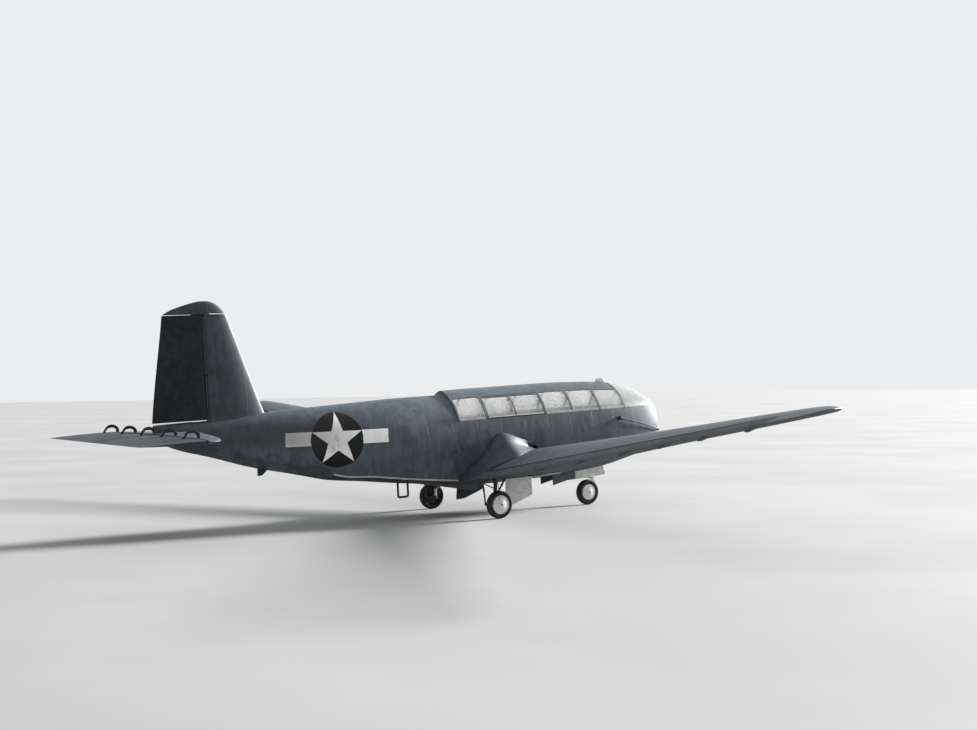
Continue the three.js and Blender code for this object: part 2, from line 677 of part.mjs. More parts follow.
function mainLeg() {
  const y = -LEG_Y;
  const axle = rod([0, y, TYRE_RADIUS], [0, -TRACK_HALF + 6, TYRE_RADIUS], 21, 21, 12);
  const leg = union(
    rod([0, y, TYRE_RADIUS - 50], [40, y, 1100], 42),
    rod([-312, y, 900], [-228, y, 282], 19, 19, 8),
    rod([-236, y, 282], [0, y, 290], 19, 19, 8),
    rod([420, y + 40, 1000], [0, y, 420], 24, 24, 8),
    rod([0, y, 560], [60, -1080, 1000], 20, 20, 8));
  return union(leg, axle);
}

// Everything that the gear is cut back from, turned into floor axes.
function airframeCutter() {
  const turn = new THREE.Matrix4().makeRotationY(-ATTITUDE).elements;
  const shell = union(wingWhole, bulge(), hullOuter).subtract(wheelBay()).subtract(mirrored(wheelBay()))
    .subtract(noseBay());
  return shifted(shell.transform(turn), 0, 0, -TOUCH);
}

function mainDoor() {
  return plate([[430, 1000], [430, 560], [400, 205], [630, 228], [1135, 424], [1105, 660], [1105, 1000]],
    -1000, -1000 + DOOR_THICK);
}

function noseLeg() {
  return union(
    rod([SWIVEL_X, 0, 1100], [SWIVEL_X, 0, 690], 46),
    rod([SWIVEL_X - 420, 0, 1100], [SWIVEL_X - 20, 0, 740], 22, 22, 8));
}

// Swivelling head with one arm, which curls round the front of the tyre down to the axle on the port side.
function noseFork() {
  const head = 684;
  const crown = 636;
  const arm = NOSE_TYRE_WIDTH / 2 + 14;
  const outline = [[-34, -30], [30, -34], [110, 20], [250, 60], [312, 160], [270, 290], [180, 346], [60, 346],
    [60, 312], [150, 300], [215, 230], [215, 140], [150, 90], [40, 60], [-30, 34]];
  return union(
    plate(outline.map(([x, z]) => [WHEELBASE + x, TYRE_RADIUS + z]), arm, arm + 22),
    block([WHEELBASE + 60, SWIVEL_X + 50], [-50, arm + 22], [crown - 34, crown]),
    rod([SWIVEL_X, 0, crown - 10], [SWIVEL_X, 0, head], 42),
    rod([WHEELBASE, 6, TYRE_RADIUS], [WHEELBASE, arm + 22, TYRE_RADIUS], 21));
}

function noseDoor() {
  const y = -BAY_HALF - 6;
  const level = ([x, z]) => [x * Math.cos(ATTITUDE) - z * Math.sin(ATTITUDE),
    x * Math.sin(ATTITUDE) + z * Math.cos(ATTITUDE)];
  return plate([[2230, 900], [2230, 405], [2640, 487], [3230, 490], [3730, 528], [3600, 900]].map(level),
    y - DOOR_THICK, y);
}

// Assembly

const material = (color, roughness, metalness = 0) => new THREE.MeshStandardMaterial({ color, roughness, metalness });
const FINISH = {
  paint: material(0x54606b, 0.55),
  rudderPaint: material(0x434d57, 0.6),
  roof: material(0x8d949a, 0.5),
  glass: Object.assign(material(0xe6ebea, 0.2), { transparent: true, opacity: 0.45 }),
  frame: material(0x6a737b, 0.5),
  rubber: material(0x17181a, 0.85),
  wheel: material(0xd6d8d6, 0.45, 0.2),
  steel: material(0x5e6468, 0.45, 0.6),
  bareMetal: material(0xb9bdbf, 0.45, 0.4),
  wood: material(0x9a8465, 0.7),
  fabric: material(0x6c6a58, 0.9),
  dark: material(0x26282a, 0.6),
};

function mesh(name, solid, finish) {
  const piece = new THREE.Mesh(toGeometry(solid), FINISH[finish]);
  piece.name = name;
  return piece;
}

// A starboard piece and its mirror image to port.
function pair(name, solid, finish) {
  return [mesh(`${name}_right`, solid, finish), mesh(`${name}_left`, mirrored(solid), finish)];
}

const airframe = new THREE.Group();
airframe.rotation.y = -ATTITUDE;
const frontGlass = glassLayer();
const rightSide = block([-FAR, FAR], [-FAR, 0], [0, FAR]);
airframe.add(
  mesh('hull_cabin', hullCabin(), 'paint'),
  mesh('hull_aft', hullAft(), 'paint'),
  mesh('rear_bulkhead', rearBulkhead(), 'wood'),
  mesh('cabin_floor', cabinFloor(), 'wood'),
  mesh('canopy_frames', canopyFrames(), 'frame'),
  mesh('canopy_roof', canopyRoof(), 'roof'),
  mesh('windshield', windshield(frontGlass), 'glass'),
  ...pair('rear_window', sideGlass(CABIN_REAR + 2, HATCH_FROM + 8).intersect(rightSide), 'glass'),
  ...pair('front_window', sideGlass(HATCH_TO - 8, HOOPS[5]).intersect(rightSide), 'glass'),
  ...pair('hatch', hatch(), 'frame'),
  ...pair('hatch_glass', hatchGlass(), 'glass'),
  mesh('pilot_seats', pilotSeats(), 'fabric'),
  mesh('troop_bench_right', troopBench(-1), 'fabric'),
  mesh('troop_bench_left', troopBench(1), 'fabric'),
  mesh('instrument_panel', instrumentPanel(), 'dark'),
  mesh('control_columns', controlColumns(), 'steel'),
  mesh('roof_vent', roofVent(), 'steel'),
  mesh('tow_bridle', towBridle(), 'steel'),
  ...pair('wing', wing(), 'paint'),
  ...pair('flap', wingWhole.intersect(flapCut.body), 'paint'),
  ...pair('aileron', wingWhole.intersect(aileronCut.body), 'rudderPaint'),
  mesh('fin', fin(), 'paint'),
  mesh('rudder', rudder(), 'rudderPaint'),
  mesh('tailplane', tailplane(), 'paint'),
  mesh('elevator', elevator(), 'rudderPaint'),
  mesh('tail_bumper', tailBumper(), 'steel'),
  mesh('boarding_step', boardingStep(), 'steel'),
);

const cutter = airframeCutter();
const gear = new THREE.Group();
const mainWheel = wheelAt(0, -TRACK_HALF, -1);
const noseWheel = wheelAt(WHEELBASE, 0, -1);
gear.add(
  ...pair('main_leg', mainLeg().subtract(cutter), 'steel'),
  ...pair('main_gear_door', mainDoor().subtract(cutter), 'bareMetal'),
  ...pair('main_tyre', mainWheel(tyre(TYRE_WIDTH)), 'rubber'),
  ...pair('main_hub', mainWheel(hub(TYRE_WIDTH)), 'wheel'),
  mesh('nose_leg', noseLeg().subtract(cutter), 'steel'),
  mesh('nose_fork', noseFork(), 'bareMetal'),
  mesh('nose_tyre', noseWheel(tyre(NOSE_TYRE_WIDTH)), 'rubber'),
  mesh('nose_hub', noseWheel(hub(NOSE_TYRE_WIDTH)), 'wheel'),
  ...pair('nose_gear_door', noseDoor().subtract(cutter), 'bareMetal'),
);

// The origin is on the floor under the middle of the whole object.
const glider = new THREE.Group();
glider.add(airframe, gear);
glider.updateMatrixWorld(true);
const box = new THREE.Box3().setFromObject(glider);
glider.position.x = -(box.min.x + box.max.x) / 2;

export default glider;
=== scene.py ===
# Looks of the parked amphibious transport sailplane. Every surface is worked out from the sections below,
# in metres. Airframe shapes are drawn level in the air frame, whose origin is on the floor under the main
# wheels, and row() turns them nose up into the CAD's frame. Gear is drawn in floor axes, and ground() puts
# it in its place.
import functools
import math

import bmesh
import bpy
import numpy as np
from mathutils import Matrix, Vector


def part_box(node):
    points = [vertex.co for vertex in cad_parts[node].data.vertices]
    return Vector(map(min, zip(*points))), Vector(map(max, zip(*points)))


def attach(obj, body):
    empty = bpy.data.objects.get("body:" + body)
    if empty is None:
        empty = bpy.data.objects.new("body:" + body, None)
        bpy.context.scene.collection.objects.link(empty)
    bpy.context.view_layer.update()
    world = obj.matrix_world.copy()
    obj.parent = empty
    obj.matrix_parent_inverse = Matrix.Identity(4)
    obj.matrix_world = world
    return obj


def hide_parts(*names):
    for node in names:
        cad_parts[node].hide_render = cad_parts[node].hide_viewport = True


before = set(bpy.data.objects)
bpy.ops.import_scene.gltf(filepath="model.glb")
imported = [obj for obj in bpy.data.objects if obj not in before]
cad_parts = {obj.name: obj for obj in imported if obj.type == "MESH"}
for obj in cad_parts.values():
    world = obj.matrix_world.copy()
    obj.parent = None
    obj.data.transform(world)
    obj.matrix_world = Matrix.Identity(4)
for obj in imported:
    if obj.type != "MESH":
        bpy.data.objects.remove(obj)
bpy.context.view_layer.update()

MM = 0.001
ATTITUDE = math.radians(2.7)
WHEEL_X = sum(corner.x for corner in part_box("main_tyre_right")) / 2

SILL = 2.050
CABIN_REAR = -0.450
HULL_WALL = 0.036
AFT_WALL = 0.028
AFT_HOLLOW_END = -5.2
FLOOR_UNDER = 0.9756
ARCH_POWER = 1.55
ARCH_MELT = 0.9
BOW_X = 4.93
ROOF_HALF = 0.370
ROOF_FRONT = 4.000
ROOF_THICK = 0.009
FRAME_DEPTH = 0.014
LIP_FROM = 0.0096
RIB_DEPTH = 0.030
REAR_WEB_DEPTH = 0.100
WIDE_HOOP_HALF = 0.030
NOSE_FRAME_FROM = 0.0165
SILL_LINE = SILL + 0.0004
GLASS_FROM = 0.0144
GLASS_TO = 0.0204
HOOP_HALF = 0.023
SILL_RAIL = 0.050
HOOPS = [-0.424, 0.270, 1.820, 2.550, 3.310, 4.040]
NOSE_HOOP = 4.600
STEP_X = -3.340
STEP_FOOT_X = -3.370
HATCH = (0.300, 1.790)
HATCH_DIVIDER = 1.040
HATCH_TOP = 0.402
FLAP_SPAN = (1.480, 4.930)
AILERON_SPAN = (4.990, 10.150)
HINGE_SPAN = (1.480, 10.150)
HINGE_X = (-0.215, -0.550)
NOSE_FIT = 0.94
CLEAR = 0.010
TRACK_HALF = 1.405
WHEELBASE = 3.350
TYRE_RADIUS = 0.290
TYRE_WIDTH = 0.168
NOSE_TYRE_WIDTH = 0.150
MAIN_RIM = 0.198
NOSE_RIM = 0.182
SWIVEL_X = 3.480
LEG_Y = 1.235
RUDDER_GAP_X = -5.710
RUDDER_HINGE_X = -5.920
RUDDER_FOOT = 2.447
RUDDER_HEAD = 4.488
RUDDER_ARMS = [3.310, 4.478]
RUDDER_BAYS = 8
TAIL_SAG = 0.035
TAIL_BAY = 0.39
TAIL_STRAIGHT = 2.7
ELEVATOR_HINGE_X = -7.030
ELEVATOR_HINGE_Z = 2.272
ELEVATOR_GAP_X = -6.830
TAIL_GAP = 0.026
TAIL_Z = 2.190
ARM_STATIONS = [-2.340, -1.170, 0.0, 1.170, 2.340]
INSIGNIA = (-3.25, 1.88)
INSIGNIA_RADIUS = 0.551
INSIGNIA_REACH = 1.085
INSIGNIA_WIDEN = 0.99
INSIGNIA_TILT = 0.025
INSIGNIA_LEAN = 0.15


def table(names, rows, plain=()):
    """Columns by name: millimetres turned into metres, and the plain ones as they are."""
    columns = dict(zip(names.split(), np.array(rows, float).T))
    return {name: column * (1 if name in plain else MM) for name, column in columns.items()}


HULL = table("x top sill_half sill max_half max_at chine_half chine keel", [
    [5306, 1662, 0, 1650, 0, 1640, 0, 1630, 1620],
    [5300, 1800, 110, 1720, 130, 1630, 90, 1540, 1500],
    [5268, 1990, 300, 1830, 330, 1620, 240, 1390, 1330],
    [5150, 2150, 440, 1950, 490, 1620, 370, 1240, 1150],
    [4930, 2350, 550, 2050, 608, 1610, 470, 1110, 980],
    [4600, 2515, 620, 2050, 690, 1580, 540, 1000, 850],
    [4040, 2635, 675, 2050, 755, 1550, 600, 890, 730],
    [3310, 2690, 700, 2050, 790, 1520, 640, 790, 640],
    [2200, 2720, 700, 2050, 800, 1500, 660, 720, 590],
    [800, 2715, 700, 2050, 800, 1500, 660, 700, 590],
    [-450, 2700, 700, 2050, 800, 1500, 660, 790, 680],
    [-520, 2612, 700, 2050, 799, 1503, 659, 798, 688],
    [-1600, 2608, 700, 2050, 790, 1550, 645, 930, 815],
    [-2400, 2585, 655, 2030, 740, 1600, 610, 1050, 930],
    [-3340, 2555, 560, 1990, 620, 1650, 540, 1190, 1060],
    [-3370, 2554, 557, 1988, 616, 1652, 530, 1275, 1068],
    [-4000, 2538, 460, 1990, 500, 1720, 430, 1402, 1232],
    [-4900, 2484, 330, 2030, 365, 1850, 310, 1648, 1455],
    [-5700, 2432, 220, 2140, 250, 2010, 205, 1880, 1715],
    [-6300, 2420, 150, 2240, 170, 2130, 135, 2024, 1893],
    [-6795, 2410, 60, 2330, 70, 2270, 60, 2195, 2102],
])

WING = table("span lead trail trail_z camber thick incidence", [
    [640, 2300, -530, 745, 0.03, 0.215, 5.2],
    [900, 2250, -530, 785, 0.03, 0.21, 5.2],
    [3200, 1790, -600, 1143, 0.03, 0.19, 4.9],
    [7000, 1010, -735, 1728, 0.028, 0.155, 4.5],
    [10100, 360, -850, 2200, 0.025, 0.13, 4.0],
    [10650, 200, -860, 2290, 0.02, 0.115, 3.6],
    [10900, 10, -790, 2340, 0.01, 0.085, 3.0],
    [10975, -230, -600, 2372, 0.0, 0.06, 3.0],
], plain=("camber", "thick", "incidence"))

BRACKET_STATIONS = [3.300, 4.700, 6.050, 7.150, 8.250, 9.400]

BULGE = table("x ridge reach foot", [
    [1400, 1390, 870, 1330],
    [1000, 1600, 1140, 1310],
    [560, 1735, 1400, 1265],
    [480, 1725, 1410, 1240],
    [0, 1290, 1380, 1110],
    [-500, 880, 1300, 830],
])

FIN = table("z lead trail half", [
    [2250, -4430, -6830, 112],
    [2452, -4508, -6812, 108],
    [4300, -5163, -6545, 66],
    [4480, -5228, -6518, 60],
    [4580, -5300, -6370, 53],
    [4670, -5400, -6110, 42],
    [4725, -5500, -5900, 26],
    [4752, -5600, -5760, 12],
])

TAIL = table("span lead trail half", [
    [0, -5850, -8010, 78],
    [2700, -6500, -8010, 42],
    [2880, -6600, -8000, 34],
    [2950, -6740, -7920, 22],
])


# Curves through tables

def cubic(knots, values, at, flat_start=False):
    """Cubic curve through the knots. Its slope at a knot is the weighted harmonic mean of the slopes on both
    sides, or none where they differ in sign, so it never swings past a knot."""
    step = np.diff(knots)
    grade = np.diff(values) / step
    slope = np.concatenate([grade[:1], np.zeros(len(knots) - 2), grade[-1:]])
    before, after = grade[:-1], grade[1:]
    same = before * after > 0
    near, far = 2 * step[1:] + step[:-1], step[1:] + 2 * step[:-1]
    mean = (near + far)[same] / (near[same] / before[same] + far[same] / after[same])
    slope[1:-1][same] = mean
    if flat_start:
        slope[0] = 0
    i = np.clip(np.searchsorted(knots, at, side="right") - 1, 0, len(step) - 1)
    h = step[i]
    t = (at - knots[i]) / h
    return ((1 + 2 * t) * (1 - t) ** 2 * values[i] + t * (1 - t) ** 2 * h * slope[i]
            + t * t * (3 - 2 * t) * values[i + 1] + t * t * (t - 1) * h * slope[i + 1])


def read(columns, knots, at, flat=()):
    """Every column of a table at the places given, as (rows, 1) arrays by name."""
    at = np.asarray(at, float)
    return {name: cubic(knots, values, at, name in flat)[:, None] for name, values in columns.items()}


def between(a, b, t):
    """Straight from a to b, at shares t of the way."""
    return a + (b - a) * t


def together(x, y, z):
    """Points from three coordinates, in rows and columns."""
    return np.stack(np.broadcast_arrays(x, y, z), -1)


def bend(start, pull, end, t):
    """Quadratic curve from start to end, drawn towards pull, at shares t of the way."""
    return (1 - t) ** 2 * start + 2 * t * (1 - t) * pull + t * t * end


def ease(t):
    """Smooth rise from 0 to 1 as t goes from 0 to 1."""
    t = np.clip(t, 0, 1)
    return t * t * (3 - 2 * t)


def row(points):
    """Air frame to the CAD's frame: turned nose up about the Y axis and moved to the wheels' place."""
    x, y, z = np.moveaxis(np.asarray(points, float), -1, 0)
    cos, sin = math.cos(ATTITUDE), math.sin(ATTITUDE)
    return np.stack([x * cos - z * sin + WHEEL_X, y, x * sin + z * cos], -1)


def ground(points):
    """Floor axes to the CAD's frame: moved to the wheels' place, and not turned."""
    return np.asarray(points, float) + (WHEEL_X, 0, 0)


# Shapes: a shape is its points and a list of face arrays

def grid(points, wrap=False):
    """Quads over a grid of points in rows and columns. wrap joins the last column to the first."""
    rows, columns = points.shape[:2]
    i, j = np.meshgrid(np.arange(rows - 1), np.arange(columns if wrap else columns - 1), indexing="ij")
    k = (j + 1) % columns
    faces = np.stack([i * columns + j, i * columns + k, (i + 1) * columns + k, (i + 1) * columns + j], -1)
    return points.reshape(-1, 3), [faces.reshape(-1, 4)]


def end_quads(count):
    """Quads that close a ring of an even count of points: each lies between two of the first half and the two
    that stand opposite, j with count - 1 - j."""
    j = np.arange(count // 2 - 1)
    return np.stack([j, j + 1, count - 2 - j, count - 1 - j], -1)


def loft(rings):
    """Closed skin through rings, with both ends closed."""
    points, faces = grid(rings, wrap=True)
    count = rings.shape[1]
    return points, faces + [end_quads(count), end_quads(count) + (len(rings) - 1) * count]


def joined(*shapes):
    """One shape of several, with each one's faces counted on from the points before it."""
    points, faces, start = [], [], 0
    for some, quads in shapes:
        points.append(some)
        faces += [quad + start for quad in quads]
        start += len(some)
    return np.concatenate(points), faces


def mirrored(shape):
    """The shape on the other side: y changes sign, and each face runs the other way round."""
    points, faces = shape
    return points * (1, -1, 1), [quad[:, ::-1] for quad in faces]


def pair(shape):
    """A shape and its mirror image as one."""
    return joined(shape, mirrored(shape))


def prism(outline, low, high, axis=1):
    """A flat outline, given in the two other axes in their order, carried from low to high along an axis."""
    outline = np.asarray(outline, float)
    rings = np.stack([np.insert(outline, axis, level, axis=1) for level in (low, high)])
    points, faces = grid(rings, wrap=True)
    ends = np.arange(2 * len(outline)).reshape(2, -1)
    return points, faces + [ends[:1], ends[1:]]


def rounded(corners, radius, steps=5):
    """Outline whose corners are cut by quadratic curves that start and end radius away from each corner."""
    corners = np.asarray(corners, float)
    t = np.linspace(0, 1, steps)[:, None]
    ways = []
    for shift in (1, -1):
        way = np.roll(corners, shift, axis=0) - corners
        length = np.linalg.norm(way, axis=1, keepdims=True)
        ways.append(corners + way / length * np.minimum(radius, length * 0.45))
    return np.concatenate([bend(a, c, b, t) for a, c, b in zip(ways[0], corners, ways[1])])


def plate(outline, y_from, y_to, radius):
    """Upright plate with rounded corners: its outline in x and z, carried from one y to another."""
    return prism(rounded(outline, radius), y_from, y_to)


def lathe(profile, centre, axis=1, count=48):
    """A profile of (radius, place along the axis) turned about an axis through centre."""
    profile = np.asarray(profile, float)
    angle = np.linspace(0, 2 * np.pi, count, endpoint=False)
    radius, along = profile[:, :1], profile[:, 1:]
    rings = [radius * np.cos(angle), radius * np.sin(angle)]
    rings.insert(axis, along + 0 * angle)
    return grid(np.stack(rings, -1) + centre, wrap=True)


def tube(path, radius, sides=12, up=(0, 0, 1), squeeze=1.0):
    """A round or flattened section carried along a path. The section stands square to the path, with its
    second axis as near to up as it can be, and squeeze scales it along that axis."""
    path = np.asarray(path, float)
    along = np.gradient(path, axis=0)
    along /= np.linalg.norm(along, axis=1, keepdims=True)
    across = np.cross(np.asarray(up, float), along)
    across /= np.linalg.norm(across, axis=1, keepdims=True)
    rise = np.cross(along, across)
    angle = np.linspace(0, 2 * np.pi, sides, endpoint=False) + np.pi / sides
    radius = np.broadcast_to(radius, len(path))[:, None, None]
    ring = across[:, None] * np.cos(angle)[:, None] + rise[:, None] * np.sin(angle)[:, None] * squeeze
    return loft(path[:, None] + ring * radius)


def smooth_path(points, steps=10):
    """Path through points by the cubic rule, with the distance along them as the parameter."""
    points = np.asarray(points, float)
    knots = np.concatenate([[0], np.cumsum(np.linalg.norm(np.diff(points, axis=0), axis=1))])
    at = np.linspace(0, knots[-1], steps * (len(points) - 1) + 1)
    return np.stack([cubic(knots, column, at) for column in points.T], -1)


def rod(start, end, radius, sides=16, up=(0, 1, 0.001)):
    """Straight bar with a small chamfer at both ends."""
    start, end = np.asarray(start, float), np.asarray(end, float)
    length = np.linalg.norm(end - start)
    chamfer = min(0.2 * radius, 0.1 * length) / length
    share = np.array([0, chamfer, 1 - chamfer, 1])[:, None]
    return tube(between(start, end, share), radius * np.array([0.82, 1, 1, 0.82]), sides, up)


# Finishes

class Signal:
    """A value that varies over a surface: one shader socket, where arithmetic adds Math nodes. Its operators
    are filled in from the table below."""

    def __init__(self, finish, socket):
        self.finish = finish
        self.socket = socket

    def math(self, operation, *others):
        """Math node with this value first."""
        return self.finish.math(operation, self, *others)

    def __rsub__(self, other):
        return self.finish.math("SUBTRACT", other, self)

    def __abs__(self):
        return self.math("ABSOLUTE")

    def fall(self, full, none):
        """1 where the value is at full, falling smoothly to 0 where it is at none."""
        return self.finish.node("ShaderNodeMapRange", {"interpolation_type": "SMOOTHSTEP"},
                                {"Value": self, 1: none, 2: full, 3: 0.0, 4: 1.0})

    def stripe(self, pitch, width):
        """Soft lines of a width, repeated every pitch."""
        place = abs(self.math("FLOORED_MODULO", pitch) - pitch / 2)
        return place.fall(pitch / 2, pitch / 2 - width)


OPERATORS = {"add": "ADD", "radd": "ADD", "sub": "SUBTRACT", "mul": "MULTIPLY", "rmul": "MULTIPLY",
             "truediv": "DIVIDE", "lt": "LESS_THAN", "gt": "GREATER_THAN"}
for name, operation in OPERATORS.items():
    setattr(Signal, f"__{name}__", functools.partialmethod(Signal.math, operation))


class Finish:
    """One node material, with short calls for the nodes that it is made of."""

    def __init__(self, name):
        self.material = bpy.data.materials.new(name)
        self.material.use_nodes = True
        self.tree = self.material.node_tree
        self.shader = self.tree.nodes["Principled BSDF"]

    def node(self, kind, settings=None, inputs=None, output=0):
        """Adds a node: its settings first, then a value or a link for each socket, by name or number."""
        node = self.tree.nodes.new(kind)
        for name, value in (settings or {}).items():
            setattr(node, name, value)
        for key, value in (inputs or {}).items():
            if isinstance(value, Signal):
                self.tree.links.new(value.socket, node.inputs[key])
            else:
                node.inputs[key].default_value = value
        return Signal(self, node.outputs[output])

    def math(self, operation, *values):
        """Math node on values and links, in their order."""
        return self.node("ShaderNodeMath", {"operation": operation}, dict(enumerate(values)))

    def place(self):
        """Object coordinates."""
        return self.node("ShaderNodeTexCoord", output="Object")

    def air(self):
        """Object coordinates turned back into the level air frame."""
        cos, sin = math.cos(ATTITUDE), math.sin(ATTITUDE)
        return self.node("ShaderNodeMapping", None, {
            "Vector": self.place(),
            "Location": (-WHEEL_X * cos, 0, WHEEL_X * sin),
            "Rotation": (0, ATTITUDE, 0),
        })

    def parts(self, vector):
        """The three numbers of a vector."""
        split = self.node("ShaderNodeSeparateXYZ", None, {0: vector}).socket.node
        return [Signal(self, socket) for socket in split.outputs]

    def stretched(self, vector, scale):
        """A place with each of its numbers times its own scale."""
        return self.node("ShaderNodeMapping", None, {"Vector": vector, "Scale": scale})

    def noise(self, vector, scale, detail=4.0, roughness=0.55):
        """Clouds from 0 to 1 round a half."""
        return self.node("ShaderNodeTexNoise", None,
                         {"Vector": vector, "Scale": scale, "Detail": detail, "Roughness": roughness})

    def mix(self, factor, first, second):
        """Colour first where factor is 0 and second where it is 1."""
        return self.node("ShaderNodeMix", {"data_type": "RGBA"}, {0: factor, 6: first, 7: second}, 2)

    def bump(self, height, distance, strength=1.0):
        """Normal tilted by a height, which stands distance proud where it is 1."""
        return self.node("ShaderNodeBump", None,
                         {"Height": height, "Distance": distance, "Strength": strength})

    def surface(self, **sockets):
        """Sets the shader's sockets, named with underscores for spaces, and gives the material."""
        for name, value in sockets.items():
            socket = self.shader.inputs[name.replace("_", " ")]
            if isinstance(value, Signal):
                self.tree.links.new(value.socket, socket)
            else:
                socket.default_value = value
        return self.material


def rgb(red, green, blue):
    """Opaque colour of three linear shares."""
    return (red, green, blue, 1.0)


SEA_BLUE = rgb(0.062, 0.078, 0.096)
SEA_BLUE_DEEP = rgb(0.034, 0.043, 0.054)
TAIL_BLUE = rgb(0.032, 0.040, 0.048)
CLOTH_BLUE = rgb(0.010, 0.013, 0.017)
CLOTH_BLUE_PALE = rgb(0.019, 0.023, 0.028)
NAVY = rgb(0.0012, 0.0016, 0.003)
INSIGNIA_WHITE = rgb(0.94, 0.94, 0.92)
# Near black for real grime, and also for painted shade where a shade mask says.
GRIME_AND_SHADE = rgb(0.020, 0.020, 0.019)


def hinge_line(x, y, half):
    """1 within half a width of the line along which the flap and aileron are let into the wing."""
    span = abs(y)
    share = (span - HINGE_SPAN[0]) / (HINGE_SPAN[1] - HINGE_SPAN[0])
    away = abs(x - (HINGE_X[0] + share * (HINGE_X[1] - HINGE_X[0])))
    return away.fall(half * 0.8, half * 1.2) * (span > FLAP_SPAN[0] - 0.01) * (span < AILERON_SPAN[1] + 0.01)


def star_and_bars(f, x, z, paint, cloud):
    """Dark disc with a five-pointed star and a bar on both sides. Round the centre a side of the star is
    where the reach times the cosine of the angle off the side's own normal stays the same."""
    rise = z - INSIGNIA[1] + (x - INSIGNIA[0]) * INSIGNIA_TILT
    across = (x - INSIGNIA[0] - rise.math("MAXIMUM", 0.0) * INSIGNIA_LEAN) / INSIGNIA_WIDEN
    reach = (across * across + rise * rise).math("SQRT")
    fifth = math.radians(72)
    turn = across.math("ARCTAN2", rise)
    fold = abs((turn + fifth / 2).math("FLOORED_MODULO", fifth) - fifth / 2)
    side = reach * (fold - fifth).math("COSINE")
    star = side < INSIGNIA_RADIUS * math.cos(fifth)
    disc = reach < INSIGNIA_RADIUS
    level = abs(rise - INSIGNIA_RADIUS * 0.075) < INSIGNIA_RADIUS * 0.25
    bar = level * (abs(across - 0.02) < INSIGNIA_REACH) * (1 - disc)
    chalk = f.mix(cloud.fall(0.66, 0.42) * 0.45, INSIGNIA_WHITE, rgb(0.80, 0.80, 0.78))
    paint = f.mix(disc, paint, NAVY)
    return f.mix(star.math("MAXIMUM", bar), paint, chalk)


def skin_paint(name, blue=SEA_BLUE, seam_pitch=0.61, shade=None, insignia=False, underside_shade=0.0, gloss=0.32,
               base_rough=0.44):
    """Satin paint on plywood: slow fading, streaks that run down, soft seams with nail rows, a scuffed flat
    bottom ahead of the step, and painted shade: on undersides by a share, and where shade says."""
    f = Finish(name)
    air = f.air()
    x, y, z = f.parts(air)
    down = f.parts(f.node("ShaderNodeTexCoord", output="Normal"))[2]
    fading = f.noise(air, 0.8, 5.0)
    cloud = f.noise(air, 4.5, 6.0)
    streak = f.noise(f.stretched(air, (6.0, 6.0, 0.55)), 1.5, 5.0)
    speck = f.noise(air, 34.0, 6.0, 0.65)
    grain = f.noise(f.stretched(air, (0.5, 3.0, 3.0)), 55.0, 3.0)
    seam = x.stripe(seam_pitch, 0.007)
    nail_row = (x.stripe(seam_pitch, 0.032) - x.stripe(seam_pitch, 0.018)).math("MAXIMUM", 0.0)
    nail = nail_row * z.stripe(0.055, 0.009)
    deep = tuple(0.55 * part for part in blue[:3]) + (1.0,)
    pale = tuple(1.30 * part for part in blue[:3]) + (1.0,)
    paint = f.mix((fading * 0.6 + streak * 0.4).fall(0.62, 0.40), deep, blue)
    paint = f.mix((cloud * 0.5 + streak * 0.5).fall(0.58, 0.42) * 0.7, pale, paint)
    paint = f.mix((speck * 0.6 + cloud * 0.4).fall(0.60, 0.52) * 0.20, paint, deep)
    if insignia:
        paint = star_and_bars(f, x, z, paint, cloud)
    runs = streak.fall(0.66, 0.54) * cloud.fall(0.40, 0.55) * 0.30
    paint = f.mix((runs + seam * 0.20 + nail * 0.15).math("MINIMUM", 1.0), paint, GRIME_AND_SHADE)
    bottom = down.fall(-0.97, -0.90) * (x > STEP_X - 0.02)
    paint = f.mix(bottom * (0.55 + cloud * 0.3), paint, GRIME_AND_SHADE)
    # Painted shade: downward faces are darkened towards the deep tone, by the share given.
    paint = f.mix(down.fall(-0.75, -0.35) * underside_shade, paint, deep)
    # Painted shade: where the shade mask says, the paint is darkened to near black.
    if shade is not None:
        paint = f.mix(shade(f, x, y, z), paint, GRIME_AND_SHADE)
    relief = grain * 0.08 + cloud * 0.22 + nail * 0.4 - seam * 0.8
    rough = base_rough + cloud * 0.18 + runs * 0.3 + bottom * 0.2
    return f.surface(Base_Color=paint, Roughness=rough, Normal=f.bump(relief, 0.002, 0.7),
                     Specular_IOR_Level=gloss)


def fabric_paint(name, pitch, axis, dark, light, shade=None):
    """Doped cloth on ribs: a fine weave, raised tapes over the ribs with stitches, and slow fading."""
    f = Finish(name)
    air = f.air()
    x, y, z = place = f.parts(air)
    fading = f.noise(air, 1.1, 5.0)
    cloud = f.noise(air, 8.0, 6.0)
    speck = f.noise(air, 40.0, 6.0, 0.65)
    tape = place[axis].stripe(pitch, 0.024)
    stitch = tape * x.stripe(0.06, 0.012)
    weave = f.noise(air, 520.0, 2.0)
    paint = f.mix((fading * 0.6 + cloud * 0.4).fall(0.58, 0.42), light, dark)
    paint = f.mix((speck * 0.7 + cloud * 0.3).fall(0.60, 0.52) * 0.35, paint, dark)
    paint = f.mix(tape * 0.22, paint, light)
    # Painted shade: where the shade mask says, the cloth is darkened to near black.
    if shade is not None:
        paint = f.mix(shade(f, x, y, z), paint, rgb(0.004, 0.004, 0.004))
    relief = tape * 0.5 + stitch * 0.35 + weave * 0.10 + cloud * 0.2
    return f.surface(Base_Color=paint, Roughness=0.62 + cloud * 0.16, Normal=f.bump(relief, 0.002, 0.8),
                     Specular_IOR_Level=0.25)


